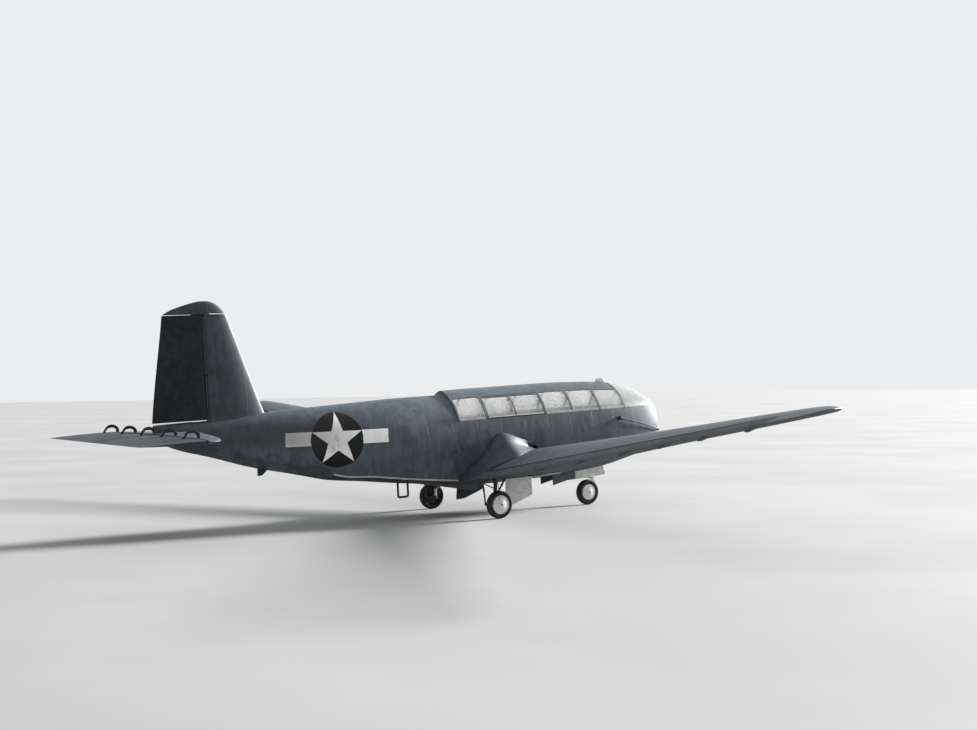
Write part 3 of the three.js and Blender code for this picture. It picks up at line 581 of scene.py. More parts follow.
def pane_finish(name, milk, clear, light=rgb(0.86, 0.87, 0.85), dull=rgb(0.66, 0.67, 0.65)):
    """Weathered plastic sheet: milky all through, with runs, scratches and dust gathered at its foot. milk is
    how much of it hides what lies behind, and clear how much less in its cleaner patches."""
    f = Finish(name)
    air = f.air()
    z = f.parts(air)[2]
    cloud = f.noise(air, 2.6, 5.0)
    streak = f.noise(f.stretched(air, (9.0, 9.0, 0.8)), 2.2, 5.0)
    scratch = f.noise(f.stretched(air, (3.0, 3.0, 60.0)), 12.0, 3.0)
    dust = z.fall(SILL, SILL + 0.16) * 0.6 + streak.fall(0.60, 0.42) * 0.25
    tone = f.mix(cloud.fall(0.62, 0.40), dull, light)
    tone = f.mix(dust * 0.35, tone, rgb(0.50, 0.50, 0.47))
    alpha = (milk - cloud.fall(0.60, 0.42) * clear + dust * 0.12).math("MINIMUM", 1.0)
    normal = f.bump(cloud * 0.6 + scratch * 0.1, 0.002, 0.5)
    return f.surface(Base_Color=tone, Roughness=0.18 + dust * 0.35, Alpha=alpha, Normal=normal,
                     Subsurface_Weight=0.9, Subsurface_Scale=0.03, Subsurface_Radius=(1.0, 1.0, 1.0))


def metal_finish(name, light, dark, metallic=0.0, rough=0.5, wear=0.3):
    """Painted or bare metal: brushed grain, handling marks, and grime gathered in patches."""
    f = Finish(name)
    spot = f.place()
    cloud = f.noise(spot, 7.0, 6.0)
    fine = f.noise(spot, 60.0, 4.0)
    brushed = f.noise(f.stretched(spot, (1.0, 14.0, 2.0)), 90.0, 2.0)
    tone = f.mix(cloud.fall(0.66, 0.38), dark, light)
    tone = f.mix((cloud * 0.5 + fine * 0.5).fall(0.62, 0.54) * wear, tone, GRIME_AND_SHADE)
    relief = fine * 0.4 + brushed * 0.2 + cloud * 0.5
    return f.surface(Base_Color=tone, Metallic=metallic, Roughness=rough + cloud * 0.2 - brushed * 0.08,
                     Normal=f.bump(relief, 0.0012, 0.6))


def rubber_finish():
    """Tyre rubber: matt black, paler in clouds of dust, with a fine grain."""
    f = Finish("tyre_rubber")
    spot = f.place()
    cloud = f.noise(spot, 9.0, 6.0)
    fine = f.noise(spot, 160.0, 3.0)
    tone = f.mix(cloud.fall(0.62, 0.42), rgb(0.012, 0.012, 0.013), rgb(0.034, 0.032, 0.030))
    return f.surface(Base_Color=tone, Roughness=0.78 + fine * 0.15, Normal=f.bump(fine + cloud, 0.0008, 0.6))


def wood_finish(name, light, dark, plank=0.14):
    """Varnished wood: long grain, dark joints between planks, and worn patches."""
    f = Finish(name)
    air = f.air()
    y = f.parts(air)[1]
    grain = f.noise(f.stretched(air, (1.2, 26.0, 26.0)), 3.2, 6.0, 0.6)
    joint = y.stripe(plank, 0.004)
    scuff = f.noise(air, 6.0, 6.0, 0.7).fall(0.64, 0.52)
    tone = f.mix(grain.fall(0.64, 0.38), dark, light)
    tone = f.mix(joint * 0.8, tone, rgb(0.05, 0.035, 0.02))
    tone = f.mix(scuff * 0.35, tone, rgb(0.24, 0.20, 0.15))
    relief = grain * 0.4 - joint
    return f.surface(Base_Color=tone, Roughness=0.45 + scuff * 0.3, Normal=f.bump(relief, 0.002, 0.7))


# Objects

def piece(name, shape, material, slot, node=None, body="airframe", place=row, smooth=32.0, bevel=0.0,
          cutters=()):
    """Makes a mesh object of a shape, put in the CAD's frame by place. Doubles are merged and faces pointed
    outwards, edges sharper than smooth degrees stay sharp, and cutters are shapes taken away from it."""
    made = linked(name, mesh_of(name, shape, place))
    for cutter in cutters:
        made.data = cut_by(made, mesh_of("cutter", cutter, place))
    if bevel:
        edge = made.modifiers.new("edge", "BEVEL")
        edge.width = bevel
        edge.segments = 2
        edge.limit_method = "ANGLE"
        edge.angle_limit = math.radians(40)
    made.data.shade_smooth()
    made.data.set_sharp_from_angle(angle=math.radians(smooth))
    paint(made, material)
    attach(made, body)
    if node:
        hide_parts(node)
    return made


def linked(name, data):
    """A new object in the scene, at the origin."""
    made = bpy.data.objects.new(name, data)
    bpy.context.scene.collection.objects.link(made)
    return made


def paint(made, material):
    """One material for the whole piece."""
    made.data.materials.clear()
    made.data.materials.append(material)


def mesh_of(name, shape, place):
    """Mesh of a shape, with its doubles merged and its faces outwards."""
    points, faces = shape
    mesh = bpy.data.meshes.new(name)
    mesh.from_pydata(place(points).tolist(), [], [face for some in faces for face in some.tolist()])
    work = bmesh.new()
    work.from_mesh(mesh)
    bmesh.ops.remove_doubles(work, verts=work.verts, dist=2e-5)
    bmesh.ops.dissolve_degenerate(work, edges=work.edges, dist=1e-6)
    bmesh.ops.recalc_face_normals(work, faces=work.faces)
    work.to_mesh(mesh)
    work.free()
    return mesh


def cut_by(made, cutter):
    """The object's mesh with a closed mesh taken away from it."""
    tool = linked("cutter", cutter)
    step = made.modifiers.new("cut", "BOOLEAN")
    step.operation = "DIFFERENCE"
    step.solver = "EXACT"
    step.object = tool
    bpy.context.view_layer.update()
    seen = made.evaluated_get(bpy.context.evaluated_depsgraph_get())
    mesh = bpy.data.meshes.new_from_object(seen)
    made.modifiers.remove(step)
    bpy.data.objects.remove(tool)
    return mesh


def both(name, shape, material, slot, node="", body="airframe", cutters=(), **options):
    """A starboard piece and its mirror image. Body and node names are completed with right and left."""
    for side, turned in (("right", tuple), ("left", mirrored)):
        piece(f"{name}_{side}", turned(shape), material, slot, node.replace("*", side),
              body.replace("*", side), cutters=[turned(cutter) for cutter in cutters], **options)


# Hull

HULL_KNOTS = np.concatenate([[0], np.cumsum(np.hypot(np.diff(HULL["x"]), np.diff(HULL["top"])))])
SEARCH = np.linspace(0, HULL_KNOTS[-1], 8000)
SEARCH_X = cubic(HULL_KNOTS, HULL["x"], SEARCH, True)
BOTTOM = np.linspace(0, 1, 6)
SIDE = np.linspace(0, 1, 12)[1:]
UPPER = np.linspace(0, 1, 8)[1:]
ARCH = np.linspace(0, np.pi / 2, 22)[1:]


def hull_at(way):
    """The hull's sections at distances along it. It leaves the nose upright, so it is round there."""
    return read(HULL, HULL_KNOTS, way, flat=("x",))


def way_of(x):
    """Distance along the hull from the nose at which it has reached x."""
    return np.interp(x, SEARCH_X[::-1], SEARCH[::-1])


def ways(x_from, x_to, step=0.06, through=()):
    """Places along the hull between two x, a step apart, with those of some other x among them."""
    start, end = sorted([way_of(x_from), way_of(x_to)])
    steps = np.linspace(start, end, max(2, int((end - start) / step) + 1))
    extra = [way_of(x) for x in through if start < way_of(x) < end]
    keep = [w for w in steps if all(abs(w - e) > step * 0.3 for e in extra)]
    return np.sort(np.concatenate([keep, extra]))


def hull_side(c, grow=0.0):
    """Half section from keel to sill: a flat bottom to the chine, then two quadratic curves by way of the
    widest point. Gives y and z, each in rows and points."""
    chine_y, chine_z = c["chine_half"] + grow, c["chine"] - 0.3 * grow
    wide_y, wide_z = c["max_half"] + grow, c["max_at"]
    sill_y, sill_z = c["sill_half"] + grow, c["sill"]
    y = np.hstack([chine_y * BOTTOM, bend(chine_y, wide_y, wide_y, SIDE),
                   bend(wide_y, wide_y * 0.995, sill_y, UPPER)])
    z = np.hstack([between(c["keel"] - grow, chine_z, BOTTOM),
                   bend(chine_z, between(chine_z, wide_z, 0.55), wide_z, SIDE),
                   bend(wide_z, between(wide_z, sill_z, 0.45), sill_z, UPPER)])
    return np.maximum(y, 0), z


def hull_arch(c, angle, grow=0.0):
    """Arch over the sill, a superellipse: angle is 0 at the sill and a quarter turn at the crown."""
    power = 2 / ARCH_POWER
    y = np.maximum(c["sill_half"] + grow, 0) * np.cos(angle).clip(0) ** power
    z = c["sill"] + np.maximum(c["top"] + grow - c["sill"], 0) * np.sin(angle) ** power
    return y, z


def at_height(height):
    """Starboard edge at a height: gives the arch's angle there for a section grown outwards."""
    def edge(c, grow=0.0):
        rise = np.maximum(c["top"] + grow - c["sill"], 1e-6)
        return np.arcsin(np.clip((height - c["sill"]) / rise, 0, 1) ** (ARCH_POWER / 2))
    return edge


def at_width(half):
    """Starboard edge at a half width."""
    def edge(c, grow=0.0):
        share = np.clip(half / np.maximum(c["sill_half"] + grow, 1e-6), 0, 1)
        return np.arccos(share ** (ARCH_POWER / 2))
    return edge


def to_port(edge):
    """The same edge on the port side."""
    return lambda c, grow: np.pi - edge(c, grow)


def half_section(c, grow=0.0, height=9.0):
    """Half section from keel up to a height, or to the crown."""
    side_y, side_z = hull_side(c, grow)
    end = at_height(height)(c, grow)
    arch_y, arch_z = hull_arch(c, ARCH * end / (np.pi / 2), grow)
    arch_y[:, -1] *= end[:, 0] < np.pi / 2 - 1e-6
    return np.hstack([side_y, arch_y]), np.hstack([side_z, arch_z])


def two_sided(x, y, z):
    """Ring of a port half and its mirror image, from x, y and z in rows and points."""
    port = together(x, y, z)
    return np.concatenate([port, (port * (1, -1, 1))[:, ::-1]], axis=1)


def cabin_hull():
    """Boat hull under the canopy: outer skin from the stern of the cabin to the nose, an inner skin above the
    floor, and the rim between them along the sill and round the open stern end."""
    way = np.concatenate([ways(CABIN_REAR, BOW_X, 0.07), np.linspace(way_of(BOW_X), 0, 40)[1:]])
    way = np.unique(np.round(way, 5))[::-1]
    c = hull_at(way)
    outer_y, outer_z = half_section(c, 0.0, SILL)
    inner_y, inner_z = half_section(c, -HULL_WALL, SILL)
    low = np.maximum(inner_z[:, :1], FLOOR_UNDER)
    high = inner_z[:, -1:]
    level = between(low, np.maximum(high, low), np.linspace(0, 1, 24))
    wide = np.stack([np.interp(z, own_z, own_y) for z, own_z, own_y in zip(level, inner_z, inner_y)])
    closed = outer_y[:, -1] < 1e-6
    wide[closed | (high[:, 0] < SILL - 1e-4), -1] = 0
    wide = np.hstack([0 * wide[:, :1], wide])
    level = np.hstack([low, level])
    x = np.minimum(c["x"], HULL["x"][0] - HULL_WALL)
    outer = two_sided(c["x"], outer_y[:, ::-1], outer_z[:, ::-1])
    inner = two_sided(x, wide[:, ::-1], level[:, ::-1])
    last = int(np.argmax(closed)) + 1
    rims = [np.stack([outer[:last, j], inner[:last, j]], 1) for j in (0, -1)]
    stern = joined(fan(outer[0], inner[0]))
    return joined(grid(outer), grid(inner), *[grid(rim) for rim in rims], stern)


def fan(outer, inner):
    """Strip of quads between two open lines of points, the inner one read at the outer one's shares."""
    share = np.linspace(0, 1, len(outer))
    own = np.linspace(0, 1, len(inner))
    second = np.stack([np.interp(share, own, column) for column in inner.T], -1)
    return grid(np.stack([outer, second]))


def aft_section(c, grow=0.0):
    """Half section of the aft hull, where the arch melts into one ellipse from widest point to crown."""
    y, z = half_section(c, grow)
    wide_y, wide_z = np.maximum(c["max_half"] + grow, 0), c["max_at"]
    share = np.clip((z - wide_z) / (c["top"] + grow - wide_z), 0, 1)
    round_y = wide_y * np.sqrt(1 - share ** 2)
    soft = ease((CABIN_REAR - c["x"]) / ARCH_MELT) * (z > wide_z)
    return between(y, round_y, soft), z


def aft_hull():
    """Shell of the aft hull: its outer skin to the stern, its inner skin to where the fin is mounted."""
    way = ways(CABIN_REAR, HULL["x"][-1], 0.06, through=(STEP_X, STEP_FOOT_X))
    c = hull_at(way)
    outer = two_sided(c["x"], *aft_section(c))
    c = hull_at(ways(CABIN_REAR, AFT_HOLLOW_END, 0.15))
    inner = two_sided(c["x"], *aft_section(c, -AFT_WALL))
    count = outer.shape[1]
    skins = []
    for skin in (outer, inner):
        points, faces = grid(skin, wrap=True)
        skins.append((points, faces + [end_quads(count) + (len(skin) - 1) * count]))
    return joined(*skins, grid(np.stack([outer[0], inner[0]]), wrap=True))


def arch_points(c, turn, depth):
    """Points of the canopy at a turn from 0, the starboard sill, to half a turn, the port sill."""
    y, z = hull_arch(c, np.minimum(turn, np.pi - turn), -depth)
    side = np.where(turn < np.pi / 2, -1, 1)
    return together(c["x"], side * y, z)


def arch_slab(x_from, x_to, low, high, outer, inner, columns=24, step=0.06, way=None):
    """Curved slab of the canopy between two x. low and high give its edges as turns round the arch, and it
    lies between two depths below the hull's skin."""
    c = hull_at(ways(x_from, x_to, step) if way is None else way)
    rings = []
    for depth in (outer, inner):
        start, end = low(c, -depth), high(c, -depth)
        rings.append(arch_points(c, between(start, end, np.linspace(0, 1, columns)), depth))
    return loft(np.concatenate([rings[0], rings[1][:, ::-1]], axis=1))


def nose_way(height, start_x, count=30, grow=0.0):
    """Places along the canopy from start_x to where its crown has come down to a height."""
    crown = cubic(HULL_KNOTS, HULL["top"], SEARCH) + grow
    end = SEARCH[np.argmax(crown > height)]
    return np.linspace(end, way_of(start_x), count)


def hoop(x, half=HOOP_HALF, depth=FRAME_DEPTH):
    """Band of the canopy from sill to sill."""
    sill = at_height(SILL_LINE)
    return arch_slab(x - half, x + half, sill, to_port(sill), 0.0, depth, 70, 0.02)


def canopy_hoops():
    """Hoops from sill to sill, the roof's edge rails and the ribs under its joints. The rearmost hoop is a
    deep web, because the hull behind it is lower."""
    parts = [hoop(HOOPS[0], depth=REAR_WEB_DEPTH)]
    parts += [hoop(x) for x in HOOPS[1:3]] + [hoop(x, WIDE_HOOP_HALF) for x in HOOPS[3:]]
    edges = [at_width(ROOF_HALF + beyond) for beyond in (0.016, 0.0004, -0.025)]
    for low, high, depth in ((edges[0], edges[1], 0.0), (edges[1], edges[2], LIP_FROM)):
        parts.append(pair(arch_slab(CABIN_REAR, ROOF_FRONT + 0.03, low, high, depth, FRAME_DEPTH, 4)))
    rib = at_width(ROOF_HALF - 0.03)
    for x in HOOPS:
        end = min(x + HOOP_HALF, ROOF_FRONT)
        parts.append(arch_slab(x - HOOP_HALF, end, rib, to_port(rib), LIP_FROM, RIB_DEPTH, 30, 0.02))
    return joined(*parts)


def sill_rails():
    """Pale rails along the foot of the fixed panes, on both sides."""
    sill, top = at_height(SILL_LINE), at_height(SILL + SILL_RAIL)
    parts = []
    for start, end in ((HOOPS[0], HOOPS[1]), (HOOPS[2], HOOPS[5])):
        parts.append(pair(arch_slab(start + HOOP_HALF, end - HOOP_HALF, sill, top, 0.0, FRAME_DEPTH, 4)))
    return joined(*parts)


def nose_frames():
    """Thin frames under the windscreen's sheet: one hoop, the post down its middle and the foot rail."""
    post = at_width(0.014)
    low, high = at_height(SILL_LINE), at_height(SILL + 0.024)
    way = nose_way(SILL + 0.03, ROOF_FRONT + 0.04, 60)
    parts = [arch_slab(0, 0, post, to_port(post), NOSE_FRAME_FROM, 0.026, 6, way=way)]
    foot = arch_slab(0, 0, low, high, NOSE_FRAME_FROM, 0.026, 4, way=nose_way(SILL + 0.03, HOOPS[5], 30))
    middle = arch_slab(NOSE_HOOP - 0.016, NOSE_HOOP + 0.016, low, to_port(low), NOSE_FRAME_FROM, 0.028,
                       70, 0.02)
    parts += [pair(foot), middle]
    return joined(*parts)


def canopy_roof():
    """Opaque strip along the crown, in five panels with an open joint over each hoop."""
    stops = [CABIN_REAR, *HOOPS[1:5], ROOF_FRONT]
    edge = at_width(ROOF_HALF)
    panels = [arch_slab(a + 0.008, b - 0.008, edge, to_port(edge), 0.0, ROOF_THICK, 40)
              for a, b in zip(stops, stops[1:])]
    return joined(*panels)


def side_pane(start, end):
    """A starboard pane under the frames."""
    return arch_slab(start, end, at_height(SILL_LINE), at_width(ROOF_HALF - 0.02), GLASS_FROM, GLASS_TO, 24)


def windscreen():
    """Sheet flush with the hull's skin from the last hoop to where it meets the nose."""
    low = at_height(SILL + 0.0008)
    way = nose_way(SILL + 0.003, HOOPS[5] + HOOP_HALF + 0.002, 60)
    return arch_slab(0, 0, low, to_port(low), 0.0, 0.006, 70, way=way)


def hatch_frame():
    """Starboard hatch: two stiles, a divider and a thin head that follow the arch."""
    top, under = at_width(HATCH_TOP), at_width(HATCH_TOP + 0.014)
    foot = at_height(SILL + 0.020)
    rim = 0.022
    columns = ((HATCH[0], HATCH[0] + rim), (HATCH_DIVIDER - 0.011, HATCH_DIVIDER + 0.011),
               (HATCH[1] - rim, HATCH[1]))
    parts = [arch_slab(a, b, foot, top, 0.0, FRAME_DEPTH, 30, 0.02) for a, b in columns]
    parts.append(arch_slab(*HATCH, under, top, 0.0, FRAME_DEPTH, 4))
    return joined(*parts)


def hatch_rail():
    """Bright rail along the hatch's foot, rolled over the pane's edge."""
    foot, shelf = at_height(SILL + 0.020), at_height(SILL + 0.044)
    return arch_slab(HATCH[0] + 0.023, HATCH[1] - 0.023, foot, shelf, 0.0, FRAME_DEPTH, 4)


def hatch_seal():
    """Black strip on the sill under the hatch, painted shade in the recess below the hatch's foot."""
    low, high = at_height(SILL_LINE), at_height(SILL + 0.011)
    return arch_slab(HATCH[0] + 0.01, HATCH[1] - 0.01, low, high, 0.003, 0.020, 4)


def hatch_pane():
    """The hatch's sheet, under its frame."""
    return arch_slab(HATCH[0] + 0.004, HATCH[1] - 0.004, at_height(SILL + 0.022), at_width(HATCH_TOP + 0.004),
                     GLASS_FROM, GLASS_TO, 24)


def on_arch(x, height, proud):
    """Point of the starboard canopy at a height, lifted off its skin, and the way that its skin faces."""
    c = hull_at([way_of(x)])
    angle = at_height(height)(c)
    ends = [arch_points(c, angle + shift, -proud)[0, 0] for shift in (-0.02, 0.02)]
    along = (ends[1] - ends[0]) / np.linalg.norm(ends[1] - ends[0])
    return arch_points(c, angle, -proud)[0, 0], np.cross(along, (1, 0, 0))


def hatch_latches():
    """Turning handle high on the hatch, and two low catches."""
    parts = []
    for x, height, radius in ((0.985, 0.385, 0.022), (1.125, 0.032, 0.014), (0.42, 0.032, 0.012)):
        base, out = on_arch(x, SILL + height, -0.002)
        parts.append(rod(base, base + out * 0.022, radius, up=(1, 0, 0)))
        parts.append(rod(base + out * 0.018, base + out * 0.018 + (0.075, 0, 0), radius * 0.45))
    return joined(*parts)


# Wing

WING_RIB = 0.345
THIN_EDGE = 0.0016
CHORD_STEPS = 22
ARC_STEPS = 10


def wing_at(span):
    """The wing's sections at distances from the middle."""
    return read(WING, WING["span"], span)


def section(u):
    """Half thickness by the four-digit law, for a section one chord long and a fifth of it thick."""
    return 0.2969 * np.sqrt(u) - 0.126 * u - 0.3516 * u ** 2 + 0.2843 * u ** 3 - 0.1015 * u ** 4


def aerofoil(c, u):
    """Mean height and half thickness at shares u of the chord, as shares of the chord. The camber line is two
    parabolas that meet at its highest point, 0.4 of the chord."""
    half = 5 * c["thick"] * section(u)
    fore, aft = (0.8 * u - u * u) / 0.16, (0.2 + 0.8 * u - u * u) / 0.36
    return c["camber"] * np.where(u < 0.4, fore, aft), np.maximum(half, THIN_EDGE)


def wing_point(c, u, side):
    """Point on the upper skin, side 1, or the lower one, side -1, as (x, z)."""
    chord = c["lead"] - c["trail"]
    mean, half = aerofoil(c, u)
    slope = np.tan(np.radians(c["incidence"]))
    return c["lead"] - u * chord, c["trail_z"] + (1 - u) * chord * slope + (mean + side * half) * chord


def hinge_x(span):
    """The flap's and the aileron's common hinge line, straight in plan."""
    return np.interp(span, HINGE_SPAN, HINGE_X)


def hinge_core(c):
    """Hinge x, mid height there and half thickness, each in rows."""
    x = hinge_x(c["span"])
    u = (c["lead"] - x) / (c["lead"] - c["trail"])
    above, below = wing_point(c, u, 1)[1], wing_point(c, u, -1)[1]
    return x, (above + below) / 2, (above - below) / 2


def cosine(steps):
    """Shares from 0 to 1 that lie closer together at both ends."""
    return (1 - np.cos(np.linspace(0, np.pi, steps))) / 2


def sagging(count, bays, sag):
    """Share by which cloth sinks at each of count rows: a squared sine over each bay between two ribs."""
    return np.sin(np.linspace(0, bays * np.pi, count))[:, None] ** 2 * sag


def wing_rings(span, cut):
    """Rings of the wing from its leading edge over the top, round behind and back below. Where cut is true
    the section ends in a hollow arc about the hinge, and elsewhere in its own trailing edge."""
    c = wing_at(span)
    chord = c["lead"] - c["trail"]
    hinge, mid, half = hinge_core(c)
    radius = half * NOSE_FIT + CLEAR
    ahead = np.sqrt(np.maximum(radius ** 2 - half ** 2, 1e-6))
    u_cut = (c["lead"] - hinge - ahead) / chord
    skin = u_cut * (1 - np.cos(np.linspace(0, np.pi / 2, CHORD_STEPS)))
    upper, lower = wing_point(c, skin, 1), wing_point(c, skin, -1)
    u_rear = between(u_cut, 1.0, cosine(ARC_STEPS // 2 + 1)[1:])
    rear = [np.hstack([a, b[:, ::-1]]) for a, b in zip(wing_point(c, u_rear, 1), wing_point(c, u_rear, -1))]
    turn = np.arctan2(half, ahead) * np.linspace(1, -1, ARC_STEPS + 2)[1:-1]
    hollow = (hinge + radius * np.cos(turn), mid + radius * np.sin(turn))
    cut = np.asarray(cut)[:, None]
    x, z = (np.hstack([upper[k], np.where(cut, hollow[k], rear[k]), lower[k][:, ::-1]]) for k in (0, 1))
    return together(x, -c["span"], z)


def wing():
    """Starboard wing. Rows are doubled where the flap and the aileron are let in."""
    marks = [(0.64, 1.470, False), (1.470, 4.940, True), (4.940, 4.980, False), (4.980, 10.160, True),
             (10.160, 10.65, False)]
    spans, cuts = [], []
    for start, end, cut in marks:
        rows = np.linspace(start, end, max(2, int((end - start) / 0.16)))
        spans.append(rows)
        cuts.append(np.full(len(rows), cut))
    tip = between(10.65, WING["span"][-1], np.sin(np.linspace(0, np.pi / 2, 16)[1:]))
    spans.append(tip)
    cuts.append(np.full(len(tip), False))
    return loft(wing_rings(np.concatenate(spans), np.concatenate(cuts)))


def control_surface(start, end, sag):
    """Flap or aileron: a round nose about the hinge line, then the wing's own section to its trailing edge.
    The cloth sinks by a share sag of the thickness between ribs."""
    bays = round((end - start) / WING_RIB)
    span = np.linspace(start, end, bays * 6 + 1)
    c = wing_at(span)
    hinge, mid, half = hinge_core(c)
    chord = c["lead"] - c["trail"]
    u_hinge = (c["lead"] - hinge) / chord
    u = between(u_hinge, 1.0, np.linspace(0, 1, 16)[1:] ** 0.9)
    upper, lower = wing_point(c, u, 1), wing_point(c, u, -1)
    dip = sagging(len(span), bays, sag)
    middle = (upper[1] + lower[1]) / 2
    away = np.minimum(np.linspace(0, 1, 15) * 4, 1) * (1 - np.linspace(0, 1, 15) ** 6)
    upper_z, lower_z = (between(z, middle, dip * away) for z in (upper[1], lower[1]))
    turn = np.linspace(np.pi / 2, -np.pi / 2, 18)
    radius = half * between(NOSE_FIT, 1.0, ease((np.abs(turn) - np.pi / 3) / (np.pi / 6)))
    nose = (hinge + radius * np.cos(turn), mid + radius * np.sin(turn))
    x = np.hstack([upper[0][:, ::-1], nose[0], lower[0]])
    z = np.hstack([upper_z[:, ::-1], nose[1], lower_z])
    return loft(together(x, -c["span"], z))


def hinge_brackets():
    """Streamlined brackets under the starboard wing that carry the flap and aileron hinges."""
    parts = []
    for span in BRACKET_STATIONS:
        hinge, mid, half = (float(value[0, 0]) for value in hinge_core(wing_at([span])))
        outline = [(0.300, 0.004), (0.060, -0.062), (-0.015, -0.060), (-0.015, -0.038), (0.090, -0.012),
                   (0.130, 0.040), (0.290, 0.040)]
        shape = rounded(np.array(outline) + (hinge, mid - half), 0.012)
        parts.append(prism(shape, -span - 0.012, -span + 0.012))
    return joined(*parts)


def bulge():
    """Bulge over the retracted wheel, beside the hull: a ridge that falls off outwards in a soft curve."""
    x = between(BULGE["x"][0], BULGE["x"][-1], np.linspace(0, 1, 60))
    c = read(BULGE, -BULGE["x"], -x)
    out = np.linspace(0, 1, 20)
    shelf = between(0.0, 0.78, out[:5] / out[4]) + 0 * c["x"]
    slope = np.stack([np.full(len(x), 0.78), 0.90 + 0 * x, (0.78 + 0.55 * (c["reach"][:, 0] - 0.82)),
                      c["reach"][:, 0]], 1)
    t = np.linspace(0, 1, 16)[1:]
    knots = np.array([0, 0.25, 0.6, 1.0])
    y = np.stack([cubic(knots, line, t) for line in slope])
    share = cubic(knots, np.array([1.0, 0.93, 0.48, 0.0]), t)
    z = c["foot"] + (c["ridge"] - c["foot"]) * share
    y = np.hstack([shelf, y])
    z = np.hstack([c["ridge"] + 0 * shelf, z])
    top = together(c["x"], -y, z)
    below = top.copy()
    below[..., 2] = c["foot"] - 0.20
    return loft(np.concatenate([top, below[:, ::-1]], axis=1))


# Tail

def thin(c, x, nose=None, dip=0.0):
    """Half thickness at x of a symmetric section between a leading and a trailing edge, less the share dip.
    nose gives a round front: its centre x and radius."""
    u = np.clip((c["lead"] - x) / (c["lead"] - c["trail"]), 0, 1)
    half = np.maximum(5 * section(u), THIN_EDGE) * 2 * c["half"] * (1 - dip)
    if nose is None:
        return half
    centre, radius = nose
    return np.minimum(half, np.sqrt(np.maximum(radius ** 2 - np.maximum(x - centre, 0) ** 2, 1e-8)))


def fin_rings(z, x_from, x_to, nose=None, dip=0.0):
    """Rings in level planes between two x."""
    c = read(FIN, FIN["z"], z)
    x = between(x_from(c), x_to(c), cosine(40))
    return two_sided(x, thin(c, x, nose, dip), c["z"])


def fin():
    """The fin ahead of the rudder's gap, and the cap that reaches back over the rudder's head."""
    split = RUDDER_HEAD + CLEAR
    low = np.linspace(FIN["z"][0], split, 30)
    high = np.concatenate([[split], between(split, FIN["z"][-1], np.sin(np.linspace(0, np.pi / 2, 18)[1:]))])
    front = fin_rings(low, lambda c: c["lead"], lambda c: RUDDER_GAP_X + 0.016 + 0 * c["lead"])
    cap = fin_rings(high, lambda c: c["lead"], lambda c: c["trail"])
    return joined(loft(front), loft(cap))


def rudder_arms():
    """Two arms that reach from the fin back through the rudder's nose, to its hinge."""
    back, front = RUDDER_HINGE_X - 0.022, RUDDER_GAP_X + 0.15
    return joined(*[plate([(front, z - 0.018), (back, z - 0.018), (back, z + 0.018), (front, z + 0.018)],
                          -0.016, 0.016, 0.012) for z in RUDDER_ARMS])


def rudder():
    """Level rings from a round nose to the trailing edge. The cloth sinks between its ribs."""
    reach = RUDDER_GAP_X - RUDDER_HINGE_X
    radius = reach * 0.35
    z = np.linspace(RUDDER_FOOT, RUDDER_HEAD, RUDDER_BAYS * 6 + 1)
    return loft(fin_rings(z, lambda c: RUDDER_GAP_X + 0 * c["lead"], lambda c: c["trail"],
                          (RUDDER_GAP_X - radius, radius), sagging(len(z), RUDDER_BAYS, TAIL_SAG)))


def tail_rings(span, x_from, x_to, nose=None, dip=0.0):
    """Rings in upright planes along the span."""
    c = read(TAIL, TAIL["span"], np.abs(span))
    x = between(x_from(c), x_to(c), cosine(36))
    z = thin(c, x, nose, dip)
    y = np.asarray(span, float)[:, None]
    upper = together(x, y, TAIL_Z + z)
    lower = together(x, y, TAIL_Z - z)
    return np.concatenate([upper, lower[:, ::-1]], axis=1)


def tail_spans():
    """Stations from tip to tip: six to a rib bay, then closer together round the tip."""
    inner = np.linspace(0, TAIL_STRAIGHT, round(TAIL_STRAIGHT / TAIL_BAY) * 6 + 1)
    tip = between(TAIL_STRAIGHT, TAIL["span"][-1], np.sin(np.linspace(0, np.pi / 2, 10)[1:]))
    half = np.concatenate([inner, tip])
    return np.concatenate([-half[:0:-1], half])


def tailplane():
    """Upright rings of a symmetric section, from its leading edge to the elevator's gap."""
    return loft(tail_rings(tail_spans(), lambda c: c["lead"],
                           lambda c: ELEVATOR_GAP_X + TAIL_GAP + 0 * c["lead"]))


def elevator_arm(y):
    """Arched arm over the elevator's nose, a flat blade whose depth tapers to the hinge."""
    gap, hinge = ELEVATOR_GAP_X, ELEVATOR_HINGE_X
    outer = [(gap + 0.09, -0.06), (gap + 0.09, 0.02), (gap + 0.03, 0.10), (gap - 0.06, 0.128),
             (hinge + 0.06, 0.104), (hinge - 0.014, 0.014)]
    inner = [(gap + 0.034, -0.06), (gap + 0.034, 0.002), (gap + 0.010, 0.046), (gap - 0.066, 0.064),
             (hinge + 0.074, 0.056), (hinge + 0.030, 0.014), (hinge + 0.008, -0.008)]
    outline = np.concatenate([curve_line(outer), [(hinge - 0.012, -0.004)], curve_line(inner)[::-1]])
    return prism(outline + (0, ELEVATOR_HINGE_Z), y - 0.017, y + 0.017)


def elevator():
    """Upright rings with a round nose. The cloth sinks by a squared sine between the ribs."""
    span = tail_spans()
    dip = np.sin(np.abs(span) / TAIL_BAY * np.pi)[:, None] ** 2 * TAIL_SAG
    return loft(tail_rings(span, lambda c: ELEVATOR_GAP_X + 0 * c["lead"], lambda c: c["trail"],
                           (ELEVATOR_GAP_X - 0.055, 0.055), dip))


def elevator_lugs():
    """Lugs on the elevator's top, one beside each arm's hinge."""
    lug = rounded([(0.044, -0.082), (0.014, 0.014), (-0.014, 0.014), (-0.044, -0.082)], 0.012)
    lugs = [prism(lug + (ELEVATOR_HINGE_X, ELEVATOR_HINGE_Z), y + 0.023, y + 0.035) for y in ARM_STATIONS]
    return joined(*lugs)


